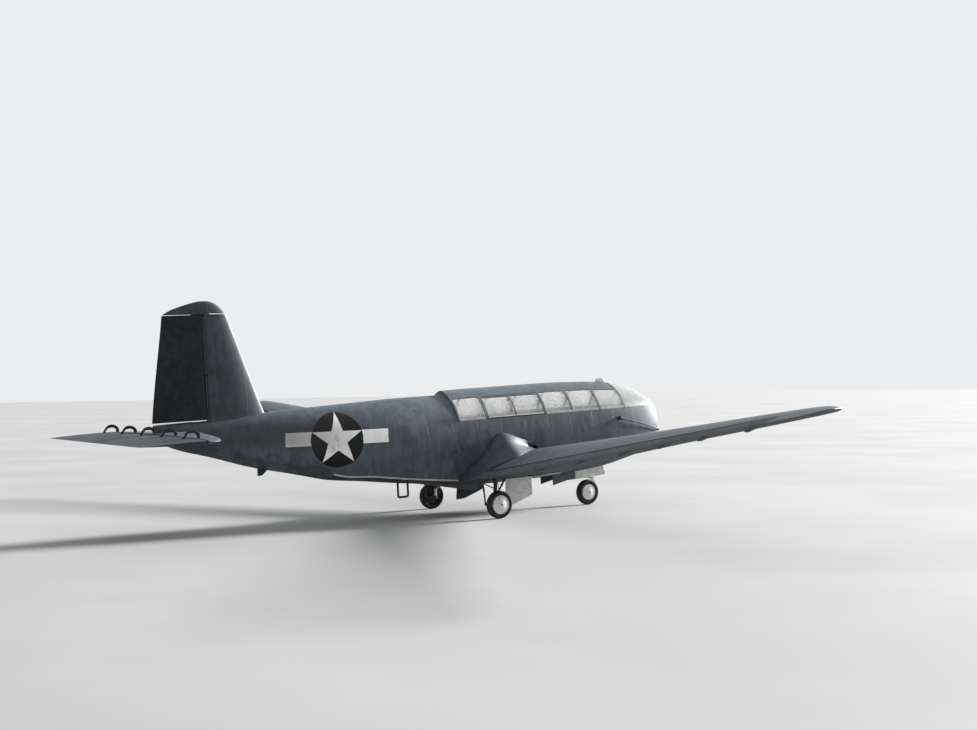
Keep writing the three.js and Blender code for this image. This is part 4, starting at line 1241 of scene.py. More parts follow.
def fin_fittings():
    """Bright rod along the foot of the fin's cap, a fitting that also serves as a painted highlight of the
    cap's edge, and a small hanging fitting on its leading edge.
    """
    cap_rod = rod((-5.59, -0.062, 4.500), (-5.285, -0.050, 4.488), 0.010)
    drop = smooth_path([(-5.232, 0, 4.474), (-5.205, 0, 4.40), (-5.215, 0, 4.30), (-5.196, 0, 4.25)], 6)
    return joined(cap_rod, tube(drop, 0.007), rod((-5.214, 0, 4.30), (-5.190, 0, 4.235), 0.013),
                  rod((-5.66, -0.07, 3.335), (-5.52, -0.075, 3.335), 0.011))


def stern_strip():
    """Bright strip along the top of the stern, under the rudder's foot."""
    x = np.linspace(-6.78, -6.02, 40)
    top = cubic(-HULL["x"], HULL["top"], -x)
    path = np.stack([x, 0 * x, top - 0.001], -1)
    return tube(path, 0.016, 10, squeeze=0.45)


# Wheels

MAIN_WHEEL = (TYRE_WIDTH, MAIN_RIM, (0, -TRACK_HALF, TYRE_RADIUS))
NOSE_WHEEL = (NOSE_TYRE_WIDTH, NOSE_RIM, (WHEELBASE, 0, TYRE_RADIUS))


def tyre(width, bead, centre):
    """Tyre turned about its axle: a superellipse for the side walls, a ring on each, and a ribbed tread."""
    h = width / 2
    turn = np.linspace(0, 2 * np.pi, 96, endpoint=False)
    middle = (TYRE_RADIUS + bead) / 2
    deep = (TYRE_RADIUS - bead) / 2
    square = 2.6
    wide = np.sign(np.cos(turn)) * np.abs(np.cos(turn)) ** (2 / square) * h
    high = np.sign(np.sin(turn)) * np.abs(np.sin(turn)) ** (2 / square) * deep
    tread = high > deep * 0.62
    side_grooves, middle_groove = np.abs(np.abs(wide) - h * 0.42) < 0.006, np.abs(wide) < 0.004
    groove = 0.004 * side_grooves * tread + 0.004 * middle_groove * tread
    ring = 0.003 * np.exp(-((high - deep * 0.35) / 0.004) ** 2) * ~tread
    profile = np.stack([middle + high - groove, wide + np.sign(wide) * ring], 1)
    return lathe(np.vstack([profile, profile[:1]]), centre, count=96)


def outwards(profile, centre, count):
    """A wheel's profile turned about its axle, with its places along the axle measured to starboard."""
    return lathe(np.array(profile) * (1, -1), centre, count=count)


def hub(width, rim, centre):
    """Wheel disc with a rolled rim and a domed cover."""
    h = width / 2
    profile = [(0, 0.3 * h), (rim - 0.002, 0.3 * h), (rim, 0.34 * h), (rim, h * 0.72),
               (rim - 0.003, h * 0.92), (rim - 0.010, h * 0.95), (rim - 0.015, h * 0.88),
               (rim - 0.018, h * 0.82)]
    dome = np.linspace(1, 0.13, 16)
    profile += [((rim - 0.022) * r, h * (0.84 + 0.42 * math.cos(r * math.pi / 2))) for r in dome]
    return outwards(profile, centre, 96)


def drum(width, rim, centre):
    """Inner side of the wheel, made dark as painted shade: a dished drum with the bearing's tube in its
    middle.
    """
    h = width / 2
    profile = [(0, 0.2 * h), (0.024, 0.2 * h), (0.024, -h - 0.012), (0.066, -h - 0.012), (0.072, -h * 0.40),
               (rim - 0.034, -h * 0.30), (rim - 0.008, -h * 0.74), (rim, -h * 0.72), (rim, h * 0.29),
               (0, h * 0.29)]
    return outwards(profile, centre, 72)


def hub_boss(width, centre):
    """Dark nut in the middle of the disc, and five small screws round it."""
    h = width / 2
    profile = [(0.0, h * 1.20), (0.021, h * 1.20), (0.021, h * 1.31), (0.015, h * 1.36), (0.0, h * 1.36)]
    nut = outwards(profile, centre, 24)
    turn = np.arange(5) * 2 * np.pi / 5
    place = np.stack([0.075 * np.cos(turn), 0 * turn - h * 1.14, 0.075 * np.sin(turn)], 1) + centre
    return joined(nut, *[rod(p, p - (0, h * 0.07, 0), 0.007, 8, up=(0, 0, 1)) for p in place])


# Gear

def block(x0, x1, z0, z1, y0, y1, radius):
    """Rounded box from x0 to x1, z0 to z1 and y0 to y1."""
    return plate([(x0, z0), (x1, z0), (x1, z1), (x0, z1)], y0, y1, radius)


def curve_line(points):
    """Smooth line through points in x and z."""
    return smooth_path([(x, 0, z) for x, z in points], 6)[:, [0, 2]]


def collar(start, end, share, radius, half=0.022):
    """Short thick ring round a bar, at a share of its length."""
    start, end = np.asarray(start, float), np.asarray(end, float)
    way = (end - start) / np.linalg.norm(end - start)
    middle = between(start, end, share)
    return rod(middle - way * half, middle + way * half, radius)


def main_leg():
    """Starboard leg: a thick strut with its foot, braces with collars, a torque link, a hose and the axle."""
    y = -LEG_Y
    struts = [((0.012, y, 0.47), (0.04, y, 1.1), 0.042), ((-0.312, y, 0.9), (-0.228, y, 0.282), 0.017),
              ((-0.236, y, 0.282), (0, y, 0.29), 0.017), ((0.42, y + 0.04, 1.0), (0.005, y, 0.42), 0.020),
              ((0.006, y, 0.56), (0.06, -1.08, 1.0), 0.017), ((-0.29, y, 0.74), (0.02, y, 0.60), 0.012)]
    parts = [rod(a, b, r) for a, b, r in struts]
    for index, share in ((0, 0.04), (1, 0.5), (3, 0.55), (3, 0.97), (1, 0.97)):
        start, end, radius = struts[index]
        parts.append(collar(start, end, share, radius * 1.35))
    parts.append(rod((0, y, 0.24), (0.012, y, 0.30), 0.042))
    parts.append(rod((0, y, TYRE_RADIUS), (0, -TRACK_HALF + 0.006, TYRE_RADIUS), 0.021))
    link = [(0.052, 0.28), (0.115, 0.385), (0.060, 0.49), (0.040, 0.49), (0.085, 0.385), (0.034, 0.29)]
    parts.append(prism(rounded(link, 0.008), y - 0.018, y + 0.018))
    hose = smooth_path([(0.045, y - 0.03, 0.80), (0.062, y - 0.055, 0.60), (0.045, y - 0.06, 0.42),
                        (0.012, y - 0.045, 0.33)], 8)
    return joined(*parts, tube(hose, 0.006, 8))


def main_leg_slide():
    """Bright sliding tube of the starboard leg."""
    y = -LEG_Y
    return rod((0.0, y, 0.285), (0.014, y, 0.49), 0.031)


DOOR = np.array([(0.43, 1.0), (0.43, 0.56), (0.40, 0.205), (0.63, 0.228), (1.135, 0.424), (1.105, 0.66),
                 (1.105, 1.0)])


def main_door_inside():
    """Inner pan of the door with two pressed stiffeners, made dark as painted shade."""
    middle = DOOR.mean(axis=0)
    pan = plate(middle + (DOOR - middle) * 0.965, -0.9925, -0.9850, 0.035)
    ribs = [plate([(0.50, z), (1.02, z + 0.04), (1.02, z + 0.075), (0.50, z + 0.035)], -0.9930, -0.9844, 0.01)
            for z in (0.40, 0.60)]
    return joined(pan, *ribs)


def door_screws():
    """Screw heads in two rows on the outer face of the main door."""
    y = -0.9998
    return joined(*[rod((x, y, z), (x, y - 0.004, z), 0.007, 8, up=(0, 0, 1))
                    for x in (0.47, 1.06) for z in np.arange(0.46, 0.95, 0.07)])


def nose_leg():
    """Upright strut over the swivel with collars, and a brace that leans back into the bay."""
    top, foot = 1.10, 0.69
    brace = ((SWIVEL_X - 0.42, 0, 1.1), (SWIVEL_X - 0.02, 0, 0.74), 0.022)
    return joined(rod((SWIVEL_X, 0, top), (SWIVEL_X, 0, foot), 0.046), rod(*brace),
                  collar((SWIVEL_X, 0, top), (SWIVEL_X, 0, foot), 0.9, 0.054), collar(*brace[:2], 0.5, 0.029),
                  collar((SWIVEL_X, 0, top), (SWIVEL_X, 0, foot), 0.55, 0.052))


def nose_fork():
    """Swivelling head with one arm, which curls round the tyre's front down to the axle's port end."""
    head, crown = 0.684, 0.636
    arm = NOSE_TYRE_WIDTH / 2 + 0.014
    outer = [(0.030, -0.034), (0.110, 0.020), (0.250, 0.060), (0.312, 0.160), (0.270, 0.290), (0.180, 0.346),
             (0.060, 0.346)]
    inner = [(-0.030, 0.034), (0.040, 0.060), (0.150, 0.090), (0.215, 0.140), (0.215, 0.230), (0.150, 0.300),
             (0.060, 0.312)]
    edges = [[(-0.034, -0.030)], curve_line(outer), curve_line(inner)[::-1]]
    outline = np.concatenate(edges) + (WHEELBASE, TYRE_RADIUS)
    top = block(WHEELBASE + 0.06, SWIVEL_X + 0.05, crown - 0.034, crown, -0.05, arm + 0.022, 0.008)
    return joined(prism(outline, arm, arm + 0.022), top,
                  rod((SWIVEL_X, 0, crown - 0.01), (SWIVEL_X, 0, head), 0.042),
                  rod((WHEELBASE, 0.006, TYRE_RADIUS), (WHEELBASE, arm + 0.022, TYRE_RADIUS), 0.021),
                  rod((WHEELBASE, arm + 0.014, TYRE_RADIUS), (WHEELBASE, arm + 0.022, TYRE_RADIUS), 0.034))


NOSE_DOOR = np.array([(2.23, 0.9), (2.23, 0.405), (2.64, 0.487), (3.23, 0.49), (3.73, 0.528), (3.6, 0.9)])
NOSE_DOOR_SPLIT = 2.860
NOSE_DOOR_Y = -0.244


def nose_door_leaf(front):
    """Starboard nose door: a front and a rear leaf on one line. The outline is cut where the leaves meet, and
    the rear leaf's dark paint is a painted shadow.
    """
    low = np.interp(NOSE_DOOR_SPLIT, NOSE_DOOR[1:5, 0], NOSE_DOOR[1:5, 1])
    gap = 0.006
    if front:
        outline = [(NOSE_DOOR_SPLIT + gap, 0.9), (NOSE_DOOR_SPLIT + gap, low), *NOSE_DOOR[3:]]
    else:
        outline = [*NOSE_DOOR[:3], (NOSE_DOOR_SPLIT - gap, low), (NOSE_DOOR_SPLIT - gap, 0.9)]
    return plate(outline, NOSE_DOOR_Y, NOSE_DOOR_Y + 0.008, 0.02)


def nose_door_lining():
    """Inner pan of both leaves, made dark as painted shade, the door's outline drawn in towards its middle.
    """
    middle = NOSE_DOOR.mean(axis=0)
    return plate(middle + (NOSE_DOOR - middle) * (0.97, 0.95), NOSE_DOOR_Y + 0.008, NOSE_DOOR_Y + 0.016, 0.02)


# Fittings

STUDS = [(-0.461, 1.495, 0.026), (0.224, 1.82, 0.012), (0.250, 1.775, 0.014), (0.269, 1.727, 0.012)]
ROOF_VENT = [(3.780, 2.640), (3.980, 2.600), (3.980, 2.655), (3.955, 2.722), (3.870, 2.745), (3.780, 2.705)]
TAIL_BUMPER = [(-4.735, 1.560), (-4.735, 1.260), (-4.650, 1.262), (-4.530, 1.365), (-4.420, 1.420),
               (-4.420, 1.500)]


def tow_bridle():
    """Steel cable led round the nose from lug to lug."""
    route = np.array([
        (3.835, 0.772, 1.820), (4.200, 0.762, 1.728), (4.600, 0.722, 1.622), (4.930, 0.645, 1.525),
        (5.150, 0.525, 1.470), (5.268, 0.370, 1.438), (5.320, 0.190, 1.425), (5.334, 0, 1.422)])
    route = np.concatenate([route, route[-2::-1] * (1, -1, 1)])
    parts = [tube(smooth_path(route, 8), 0.0155, 14)]
    lug = np.array([(0.0, 0.700), (0.044, 0.700), (0.046, 0.790), (0.043, 0.806), (0.030, 0.812),
                    (0.0, 0.812)])
    for side in (-1, 1):
        parts.append(lathe(lug * (1, side), (3.820, 0, 1.822), count=28))
        parts.append(rod((3.800, side * 0.790, 1.826), (3.880, side * 0.786, 1.808), 0.026, up=(0, 0, 1)))
    return joined(*parts)


def boarding_step():
    """Loop of bent bar under the starboard side: down, across with rounded corners, and up."""
    y = -0.500
    path = smooth_path([(-1.874, y, 1.0), (-1.874, y, 0.80), (-1.874, y, 0.61), (-1.862, y, 0.583),
                        (-1.838, y, 0.574), (-1.76, y, 0.574), (-1.677, y, 0.574), (-1.653, y, 0.583),
                        (-1.641, y, 0.61), (-1.641, y, 0.80), (-1.641, y, 1.0)], 6)
    return tube(path, 0.023, 14, up=(0, 1, 0.001))


def hull_studs():
    """Round plug low on the starboard side behind the step, and three small studs over the wing."""
    parts = []
    for x, z, radius in STUDS:
        y, level = hull_side(hull_at([way_of(x)]))
        wide = float(np.interp(z, level[0], y[0]))
        parts.append(rod((x, -wide + 0.004, z), (x, -wide - 0.010, z), radius, up=(0, 0, 1)))
    return joined(*parts)


def spray_strip():
    """Half-round strip along the starboard chine, from the step forward to the nose gear."""
    x = np.linspace(STEP_X + 0.004, 2.15, 120)
    c = hull_at(way_of(x))
    path = np.stack([c["x"][:, 0], -c["chine_half"][:, 0] - 0.002, c["chine"][:, 0] + 0.004], -1)
    return tube(path, 0.017, 10, squeeze=1.1)


# Cabin

SEAT_Y = 0.29
BENCH_BACK_Y = 0.640


def rooted(value, power):
    """Power of a number's size, with its own sign."""
    return np.sign(value) * np.abs(value) ** power


def cushion(low, high, axis, channels, crown=0.10, turn=0.0):
    """Stuffed pad between two corners. Round its edge it is a squared ellipse whose sides pull in between the
    corners, across it the thickness follows a soft root curve, and sewn channels sink across the given axis.
    turn leans it back about its rear lower edge."""
    low, high = np.asarray(low, float), np.asarray(high, float)
    middle, half = (low + high) / 2, (high - low) / 2
    rise = np.linspace(-np.pi / 2, np.pi / 2, 34)[:, None]
    round_ = np.linspace(0, 2 * np.pi, 88, endpoint=False)[None]
    plan = np.stack([rooted(np.cos(round_), 0.28), rooted(np.sin(round_), 0.28)])
    pull = 1 - 0.035 * (1 - np.abs(plan[::-1]) ** 2)
    spread = np.cos(rise).clip(1e-6) ** 0.34
    u, v = plan * pull * spread
    lines = np.linspace(-1, 1, channels + 2)[1:-1]
    across = (u, v)[axis]
    sink = sum(np.exp(-((across - line) / 0.045) ** 2) for line in lines)
    bulk = rooted(np.sin(rise), 0.62) * (1 - crown * (u * u + v * v) / 2) * (1 - 0.16 * sink)
    points = middle + half * np.stack([u + 0 * bulk, v + 0 * bulk, bulk], -1)
    if turn:
        cos, sin = math.cos(turn), math.sin(turn)
        x, z = points[..., 0] - low[0], points[..., 2] - low[2]
        points[..., 0], points[..., 2] = low[0] + x * cos - z * sin, low[2] + x * sin + z * cos
    return grid(points, wrap=True)


def seat_frames():
    """Two plywood seats on a low platform: a box, and a leaning back with rounded corners."""
    parts = [block(3.15, 3.65, 1.0, 1.04, -0.52, 0.52, 0.006)]
    for y in (-SEAT_Y, SEAT_Y):
        parts.append(block(3.18, 3.60, 1.04, 1.25, y - 0.2, y + 0.2, 0.02))
        back = [(3.18, 1.24), (3.225, 1.24), (3.125, 1.85), (3.09, 1.85)]
        parts.append(plate(back, y - 0.2, y + 0.2, 0.012))
    return joined(*parts)


def bench_frame():
    """Starboard bench: legs, a slatted seat and a slatted leaning back."""
    def bar(x0, x1, across, up, wide, tall):
        y = -BENCH_BACK_Y + across
        return block(x0, x1, 1.0 + up, 1.0 + up + tall, y, y + wide, 0.004)
    parts = [bar(-0.19, 2.69, a, 0.345, 0.085, 0.02) for a in (0.02, 0.12, 0.22, 0.32)]
    for x in np.linspace(-0.14, 2.60, 6):
        parts.append(bar(x, x + 0.04, 0.36, 0.005, 0.04, 0.34))
        parts.append(bar(x, x + 0.04, 0.03, 0.005, 0.04, 0.34))
        parts.append(bar(x, x + 0.04, 0.03, 0.305, 0.37, 0.04))
    for a, up in ((0.042, 0.44), (0.022, 0.58), (0.0, 0.72), (-0.02, 0.80)):
        parts.append(bar(-0.19, 2.69, a, up, 0.014, 0.055))
    return joined(*parts)


def panel_dials():
    """Round dials on the instrument panel's rear face: a raised rim round a sunk face."""
    profile = np.array([(0.0, 4.4795), (0.036, 4.4795), (0.038, 4.474), (0.045, 4.473), (0.047, 4.481)])
    places = [(y, z) for z in (1.90, 1.78, 1.66) for y in (-0.42, -0.29, -0.16, 0.16, 0.29, 0.42)]
    return joined(*[lathe(profile, (0, y, z), axis=0, count=28) for y, z in places])


def control_columns():
    """A column on the floor before each seat, with a bent tube for its wheel."""
    parts = [block(3.96, 4.04, 1.0004, 1.07, -0.34, 0.34, 0.012)]
    for y in (-SEAT_Y, SEAT_Y):
        parts.append(rod((4.0, y, 1.06), (3.9, y, 1.62), 0.019))
        grips = [(-0.15, 1.66), (-0.148, 1.60), (-0.10, 1.595), (0, 1.61), (0.10, 1.595), (0.148, 1.60),
                 (0.15, 1.66)]
        wheel = smooth_path([(3.9, y + across, z) for across, z in grips], 6)
        parts.append(tube(wheel, 0.014, 12, up=(1, 0, 0.001)))
    return joined(*parts)


# Stage and camera

CAMERA_PLACE = (-13.6525, -24.5573, 2.784429)
CAMERA_TURN = 0.570143
CAMERA_TILT = 0.0152914
CAMERA_ROLL = -0.0116317
CAMERA_LENS = 48.675
FLOOR_REACH = 300.0
KEY_ENERGY = 14.0
KEY_RISE = 16.5
KEY_SWING = 2.0


def camera():
    """Level view direction turned from +Y towards +X, then tilted up and rolled."""
    level = np.array([math.sin(CAMERA_TURN), math.cos(CAMERA_TURN), 0])
    up = np.array([0, 0, 1.0])
    forward = level * math.cos(CAMERA_TILT) + up * math.sin(CAMERA_TILT)
    right = np.array([level[1], -level[0], 0])
    down = level * math.sin(CAMERA_TILT) - up * math.cos(CAMERA_TILT)
    across = right * math.cos(CAMERA_ROLL) - down * math.sin(CAMERA_ROLL)
    rise = -(right * math.sin(CAMERA_ROLL) + down * math.cos(CAMERA_ROLL))
    data = bpy.data.cameras.new("view")
    data.lens = CAMERA_LENS
    data.sensor_width = 36.0
    data.clip_end = 500.0
    view = linked("view", data)
    axes = Matrix((across, rise, -forward)).transposed().to_4x4()
    view.matrix_world = Matrix.Translation(CAMERA_PLACE) @ axes
    bpy.context.scene.camera = view


def stage():
    """Pale floor, and one soft key light from ahead and a little to port."""
    f = Finish("floor")
    spot = f.place()
    tone = f.mix(f.noise(spot, 0.15, 3.0).fall(0.65, 0.35), rgb(0.27, 0.27, 0.266), rgb(0.30, 0.30, 0.296))
    material = f.surface(Base_Color=tone, Roughness=0.9)
    corners = np.array([[-1, -1, 0], [1, -1, 0], [1, 1, 0], [-1, 1, 0]]) * FLOOR_REACH
    floor = linked("floor", mesh_of("floor", (corners, [np.array([[0, 1, 2, 3]])]), np.asarray))
    paint(floor, material)
    sun = bpy.data.lights.new("key", "SUN")
    sun.energy = KEY_ENERGY
    sun.angle = math.radians(9)
    key = linked("key", sun)
    rise, swing = math.radians(KEY_RISE), math.radians(KEY_SWING)
    level = math.cos(rise)
    ahead = Vector((level * math.cos(swing), level * math.sin(swing), math.sin(rise)))
    key.rotation_euler = ahead.to_track_quat("Z", "Y").to_euler()
    bpy.context.scene.view_settings.view_transform = "Standard"


def soft_room():
    """Surroundings that are bright behind the object, on its port side, and fade to a dim near side."""
    world = bpy.data.worlds.new("soft_room")
    bpy.context.scene.world = world
    world.use_nodes = True
    tree = world.node_tree
    sky = tree.nodes["Background"]
    sky.inputs["Color"].default_value = rgb(0.97, 0.985, 1.0)
    way = tree.nodes.new("ShaderNodeTexCoord")
    split = tree.nodes.new("ShaderNodeSeparateXYZ")
    fade = tree.nodes.new("ShaderNodeMapRange")
    fade.interpolation_type = "SMOOTHSTEP"
    for name, value in (("From Min", -0.4), ("From Max", 0.4), ("To Min", 0.66), ("To Max", 0.86)):
        fade.inputs[name].default_value = value
    tree.links.new(way.outputs["Generated"], split.inputs[0])
    tree.links.new(split.outputs["Y"], fade.inputs["Value"])
    tree.links.new(fade.outputs[0], sky.inputs["Strength"])


camera()
stage()
soft_room()


def gap_shade(f, x, y, z):
    """Painted shade: a dark line along the gap between the wing and its flap and aileron."""
    return hinge_line(x, y, 0.034)


def rudder_gap_shade(f, x, y, z):
    """Painted shade on the rudder's nose, inside its gap."""
    return x.fall(RUDDER_GAP_X - 0.016, RUDDER_GAP_X - 0.030)


def fin_gap_shade(f, x, y, z):
    """Painted shade on the fin's rear edge, below its cap."""
    return x.fall(RUDDER_GAP_X + 0.012, RUDDER_GAP_X + 0.022) * (z < RUDDER_HEAD)


def elevator_gap_shade(f, x, y, z):
    """Painted shade on the elevator's nose, inside its gap."""
    return x.fall(ELEVATOR_GAP_X - 0.02, ELEVATOR_GAP_X - 0.04)


def hull_shade(f, x, y, z):
    """Painted shade where the canopy's last hoop stands proud of the aft hull, and a band of painted
    shade along the aft flank.
    """
    ledge = x.fall(-0.470, -0.500) * (z > SILL - 0.02) * 0.8
    flank = abs(z - 1.98 - (x + 3.6) * -0.10).fall(0.12, 0.42) * x.fall(-4.3, -2.4) * 0.62
    return ledge.math("MAXIMUM", flank)


def bulge_shade(f, x, y, z):
    """Painted shade on the rear and side faces of the bulge, which face away from the key light."""
    ahead = f.parts(f.node("ShaderNodeTexCoord", output="Normal"))[0]
    return ahead.fall(-0.05, 0.30) * 0.55


hull_paint = skin_paint("hull_paint", insignia=True, shade=hull_shade)
cabin_paint = skin_paint("cabin_paint")
wing_paint = skin_paint("wing_paint", seam_pitch=0.9, shade=gap_shade, underside_shade=0.9)
bulge_paint = skin_paint("bulge_paint", seam_pitch=2.5, shade=bulge_shade)
fin_paint = skin_paint("fin_paint", TAIL_BLUE, 0.7, shade=fin_gap_shade)
tail_paint = skin_paint("tail_paint", SEA_BLUE, 0.7, underside_shade=0.9)
roof_paint = skin_paint("roof_paint", seam_pitch=3.0, gloss=0.7, base_rough=0.22)
frame_paint = metal_finish("frame_paint", rgb(0.105, 0.120, 0.135), rgb(0.070, 0.082, 0.095), rough=0.45)
pale_frame = metal_finish("pale_frame", rgb(0.50, 0.50, 0.48), rgb(0.36, 0.36, 0.35), rough=0.45, wear=0.2)
wing_cloth = fabric_paint("wing_cloth", WING_RIB, 1, SEA_BLUE_DEEP, SEA_BLUE, shade=gap_shade)
rudder_cloth = fabric_paint("rudder_cloth", 0.2535, 2, CLOTH_BLUE, CLOTH_BLUE_PALE, shade=rudder_gap_shade)
tail_cloth = fabric_paint("tail_cloth", TAIL_BAY, 1, CLOTH_BLUE_PALE, SEA_BLUE_DEEP, elevator_gap_shade)
pane = pane_finish("milky_pane", 0.40, 0.14)
nose_pane = pane_finish("nose_pane", 0.97, 0.06, rgb(0.42, 0.43, 0.42), rgb(0.36, 0.37, 0.36))
alloy = metal_finish("alloy", rgb(0.74, 0.74, 0.73), rgb(0.55, 0.55, 0.54), metallic=0.1, rough=0.4, wear=0.2)
door_paint = metal_finish("door_paint", rgb(0.80, 0.80, 0.78), rgb(0.58, 0.58, 0.57), rough=0.5, wear=0.3)
disc_paint = metal_finish("disc_paint", rgb(0.90, 0.90, 0.88), rgb(0.74, 0.74, 0.72), rough=0.35, wear=0.15)
steel = metal_finish("steel", rgb(0.060, 0.064, 0.068), rgb(0.028, 0.030, 0.033), metallic=0.3, rough=0.42)
bright_steel = metal_finish("bright_steel", rgb(0.62, 0.63, 0.64), rgb(0.42, 0.43, 0.44), 0.8, 0.25)
# Near black for dark steel fittings, also used as painted shade on the wheels' inner drums and the doors'
# inner pans.
dark_fittings_and_shade = metal_finish("dark_fittings", rgb(0.020, 0.021, 0.022), rgb(0.010, 0.010, 0.011), rough=0.6)
panel_black = metal_finish("panel_black", rgb(0.030, 0.031, 0.033), rgb(0.018, 0.018, 0.019), rough=0.55)
rubber = rubber_finish()
wood = wood_finish("cabin_wood", rgb(0.42, 0.31, 0.20), rgb(0.28, 0.20, 0.12))
canvas = fabric_paint("seat_canvas", 0.30, 1, rgb(0.090, 0.085, 0.055), rgb(0.150, 0.140, 0.095))


nose_bay = prism([(2.25, 0.0), (3.76, 0.0), (3.76, 0.95), (2.25, 0.95)], -0.222, 0.222)
wheel_bay = prism([(-0.33, 0), (-0.33, 0.77), (0.25, 1.02), (0.42, 1.08), (1.12, 1.08), (1.12, 0)],
                  -1.56, -1.01)

piece("hull_cabin_skin", cabin_hull(), cabin_paint, "hull_paint", "hull_cabin", cutters=[nose_bay])
piece("hull_aft_skin", aft_hull(), hull_paint, "hull_paint", "hull_aft")
both("spray_strip", spray_strip(), pale_frame, "bare_metal")
piece("hull_studs", hull_studs(), dark_fittings_and_shade, "gear_steel")
piece("canopy_hoops", canopy_hoops(), frame_paint, "canopy_frame", "canopy_frames", bevel=0.0025)
piece("sill_rails", sill_rails(), pale_frame, "canopy_frame", bevel=0.002)
piece("nose_frames", nose_frames(), pale_frame, "canopy_frame")
piece("roof_strip", canopy_roof(), roof_paint, "roof_paint", "canopy_roof", bevel=0.002)
piece("windscreen_pane", windscreen(), nose_pane, "canopy_pane", "windshield")
both("rear_pane", side_pane(CABIN_REAR + 0.002, 0.278), pane, "canopy_pane", "rear_window_*")
both("front_pane", side_pane(1.812, 4.060), pane, "canopy_pane", "front_window_*")
both("hatch_frame", hatch_frame(), frame_paint, "canopy_frame", "hatch_*", "hatch_*", bevel=0.002)
both("hatch_rail", hatch_rail(), alloy, "canopy_frame", body="hatch_*", bevel=0.002)
both("hatch_latches", hatch_latches(), dark_fittings_and_shade, "gear_steel", body="hatch_*")
both("hatch_pane", hatch_pane(), pane, "canopy_pane", "hatch_glass_*", "hatch_*")
# Painted shade: a black strip in the recess under each hatch's foot.
both("hatch_seal", hatch_seal(), rubber, "tyre_rubber")
both("wing_skin", wing(), wing_paint, "hull_paint", "wing_*", cutters=[wheel_bay])
both("hinge_brackets", hinge_brackets(), frame_paint, "hull_paint", bevel=0.002)
both("wheel_bulge", bulge(), bulge_paint, "hull_paint")
both("flap_skin", control_surface(*FLAP_SPAN, 0.03), wing_cloth, "control_fabric", "flap_*", "flap_*")
both("aileron_skin", control_surface(*AILERON_SPAN, 0.05), wing_cloth, "control_fabric", "aileron_*",
     "aileron_*")
piece("fin_skin", fin(), fin_paint, "hull_paint", "fin")
piece("rudder_arms", rudder_arms(), dark_fittings_and_shade, "gear_steel")
# Painted highlight: the bright rod at the cap's foot stands for the light on the cap's edge.
piece("fin_fittings", fin_fittings(), alloy, "bare_metal")
piece("stern_strip", stern_strip(), pale_frame, "bare_metal")
piece("rudder_skin", rudder(), rudder_cloth, "control_fabric", "rudder", "rudder")
piece("tailplane_skin", tailplane(), tail_paint, "hull_paint", "tailplane")
piece("elevator_arms", joined(*[elevator_arm(y) for y in ARM_STATIONS]), dark_fittings_and_shade, "gear_steel", bevel=0.003)
piece("elevator_skin", elevator(), tail_cloth, "control_fabric", "elevator", "elevator")
piece("elevator_lugs", elevator_lugs(), dark_fittings_and_shade, "gear_steel", body="elevator")

main = dict(body="main_wheel_*", place=ground)
nose = dict(body="nose_wheel", place=ground)
both("main_tyre_tread", tyre(*MAIN_WHEEL), rubber, "tyre_rubber", "main_tyre_*", **main)
both("main_wheel_disc", hub(*MAIN_WHEEL), disc_paint, "wheel_disc", "main_hub_*", smooth=40, **main)
both("main_wheel_drum", drum(*MAIN_WHEEL), dark_fittings_and_shade, "gear_steel", smooth=40, **main)
piece("nose_wheel_drum", drum(*NOSE_WHEEL), dark_fittings_and_shade, "gear_steel", smooth=40, **nose)
both("main_wheel_boss", hub_boss(*MAIN_WHEEL[::2]), dark_fittings_and_shade, "gear_steel", **main)
piece("nose_tyre_tread", tyre(*NOSE_WHEEL), rubber, "tyre_rubber", "nose_tyre", **nose)
piece("nose_wheel_disc", hub(*NOSE_WHEEL), disc_paint, "wheel_disc", "nose_hub", smooth=40, **nose)
piece("nose_wheel_boss", hub_boss(*NOSE_WHEEL[::2]), dark_fittings_and_shade, "gear_steel", **nose)

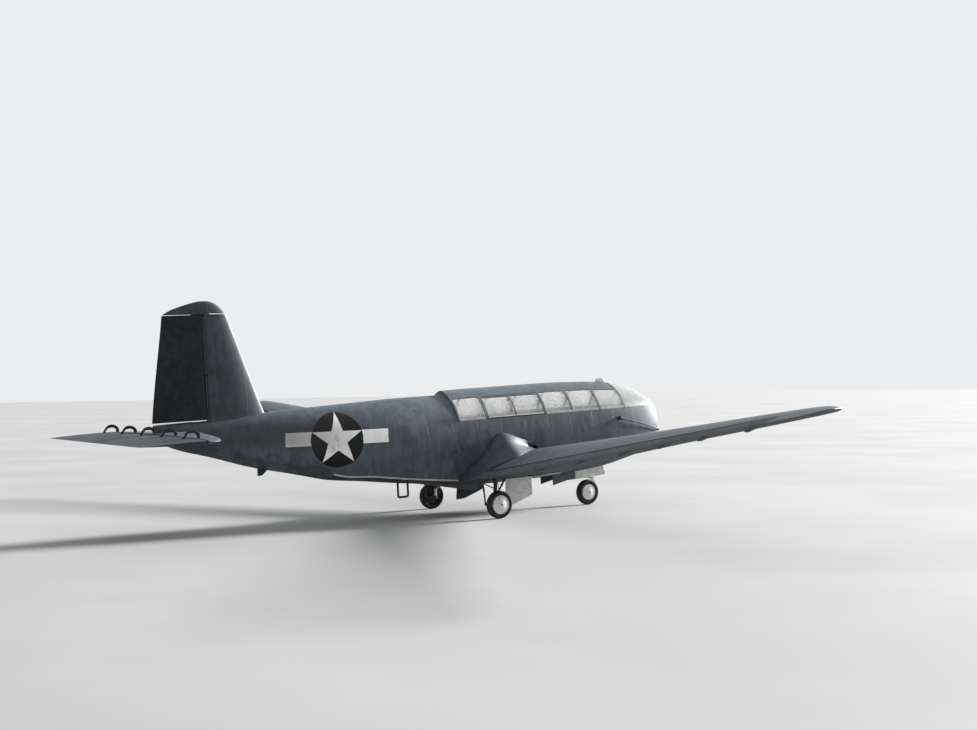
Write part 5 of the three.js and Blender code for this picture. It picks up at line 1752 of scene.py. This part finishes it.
both("main_leg_struts", main_leg(), steel, "gear_steel", "main_leg_*", place=ground)
both("main_leg_slide", main_leg_slide(), bright_steel, "gear_steel", place=ground)
both("main_door_outside", plate(DOOR, -1.0, -0.9925, 0.035), door_paint, "bare_metal", "main_gear_door_*",
     place=ground, bevel=0.002)
both("main_door_inside", main_door_inside(), dark_fittings_and_shade, "bare_metal", place=ground, bevel=0.002)
both("main_door_screws", door_screws(), steel, "gear_steel", place=ground)
piece("nose_leg_strut", nose_leg(), steel, "gear_steel", "nose_leg", place=ground)
piece("nose_fork_arm", nose_fork(), alloy, "bare_metal", "nose_fork", "nose_fork", ground, bevel=0.003)
both("nose_door_front", nose_door_leaf(True), door_paint, "bare_metal", "nose_gear_door_*", bevel=0.002)
# Painted shadow: the rear leaf takes the wing's dark paint.
both("nose_door_rear", nose_door_leaf(False), wing_paint, "bare_metal", bevel=0.002)
both("nose_door_lining", nose_door_lining(), dark_fittings_and_shade, "bare_metal", bevel=0.002)

piece("tow_cable", tow_bridle(), dark_fittings_and_shade, "gear_steel", "tow_bridle")
piece("roof_scoop", plate(ROOF_VENT, -0.055, 0.055, 0.02), alloy, "gear_steel", "roof_vent", bevel=0.006)
piece("tail_skid", plate(TAIL_BUMPER, -0.016, 0.016, 0.02), dark_fittings_and_shade, "gear_steel", "tail_bumper", bevel=0.004)
piece("step_loop", boarding_step(), dark_fittings_and_shade, "gear_steel", "boarding_step")

piece("seat_shells", seat_frames(), wood, "seat_fabric", "pilot_seats", bevel=0.003)
both("bench_slats", bench_frame(), wood, "seat_fabric", "troop_bench_*")
for side, y in (("right", -SEAT_Y), ("left", SEAT_Y)):
    for name, low, high, lean in (("seat_pad", (3.235, y - 0.19, 1.235), (3.59, y + 0.19, 1.330), 0.0),
                                  ("back_pad", (3.215, y - 0.18, 1.335), (3.262, y + 0.18, 1.80), 0.155)):
        pad = cushion(low, high, 1, 3, turn=lean)
        piece(f"{name}_{side}", pad, canvas, "seat_fabric", smooth=80)
for index, start in enumerate(np.linspace(-0.18, 2.21, 6)):
    for side, sign in (("right", -1), ("left", 1)):
        low, high = sorted([sign * (BENCH_BACK_Y - 0.39), sign * (BENCH_BACK_Y - 0.07)])
        pad = cushion((start, low, 1.367), (start + 0.46, high, 1.428), 0, 2)
        piece(f"bench_pad_{side}_{index + 1}", pad, canvas, "seat_fabric", smooth=80)
piece("yokes", control_columns(), steel, "gear_steel", "control_columns")
piece("panel_dials", panel_dials(), pale_frame, "panel_black")

for node, material in {"rear_bulkhead": wood, "cabin_floor": wood, "instrument_panel": panel_black}.items():
    paint(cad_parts[node], material)
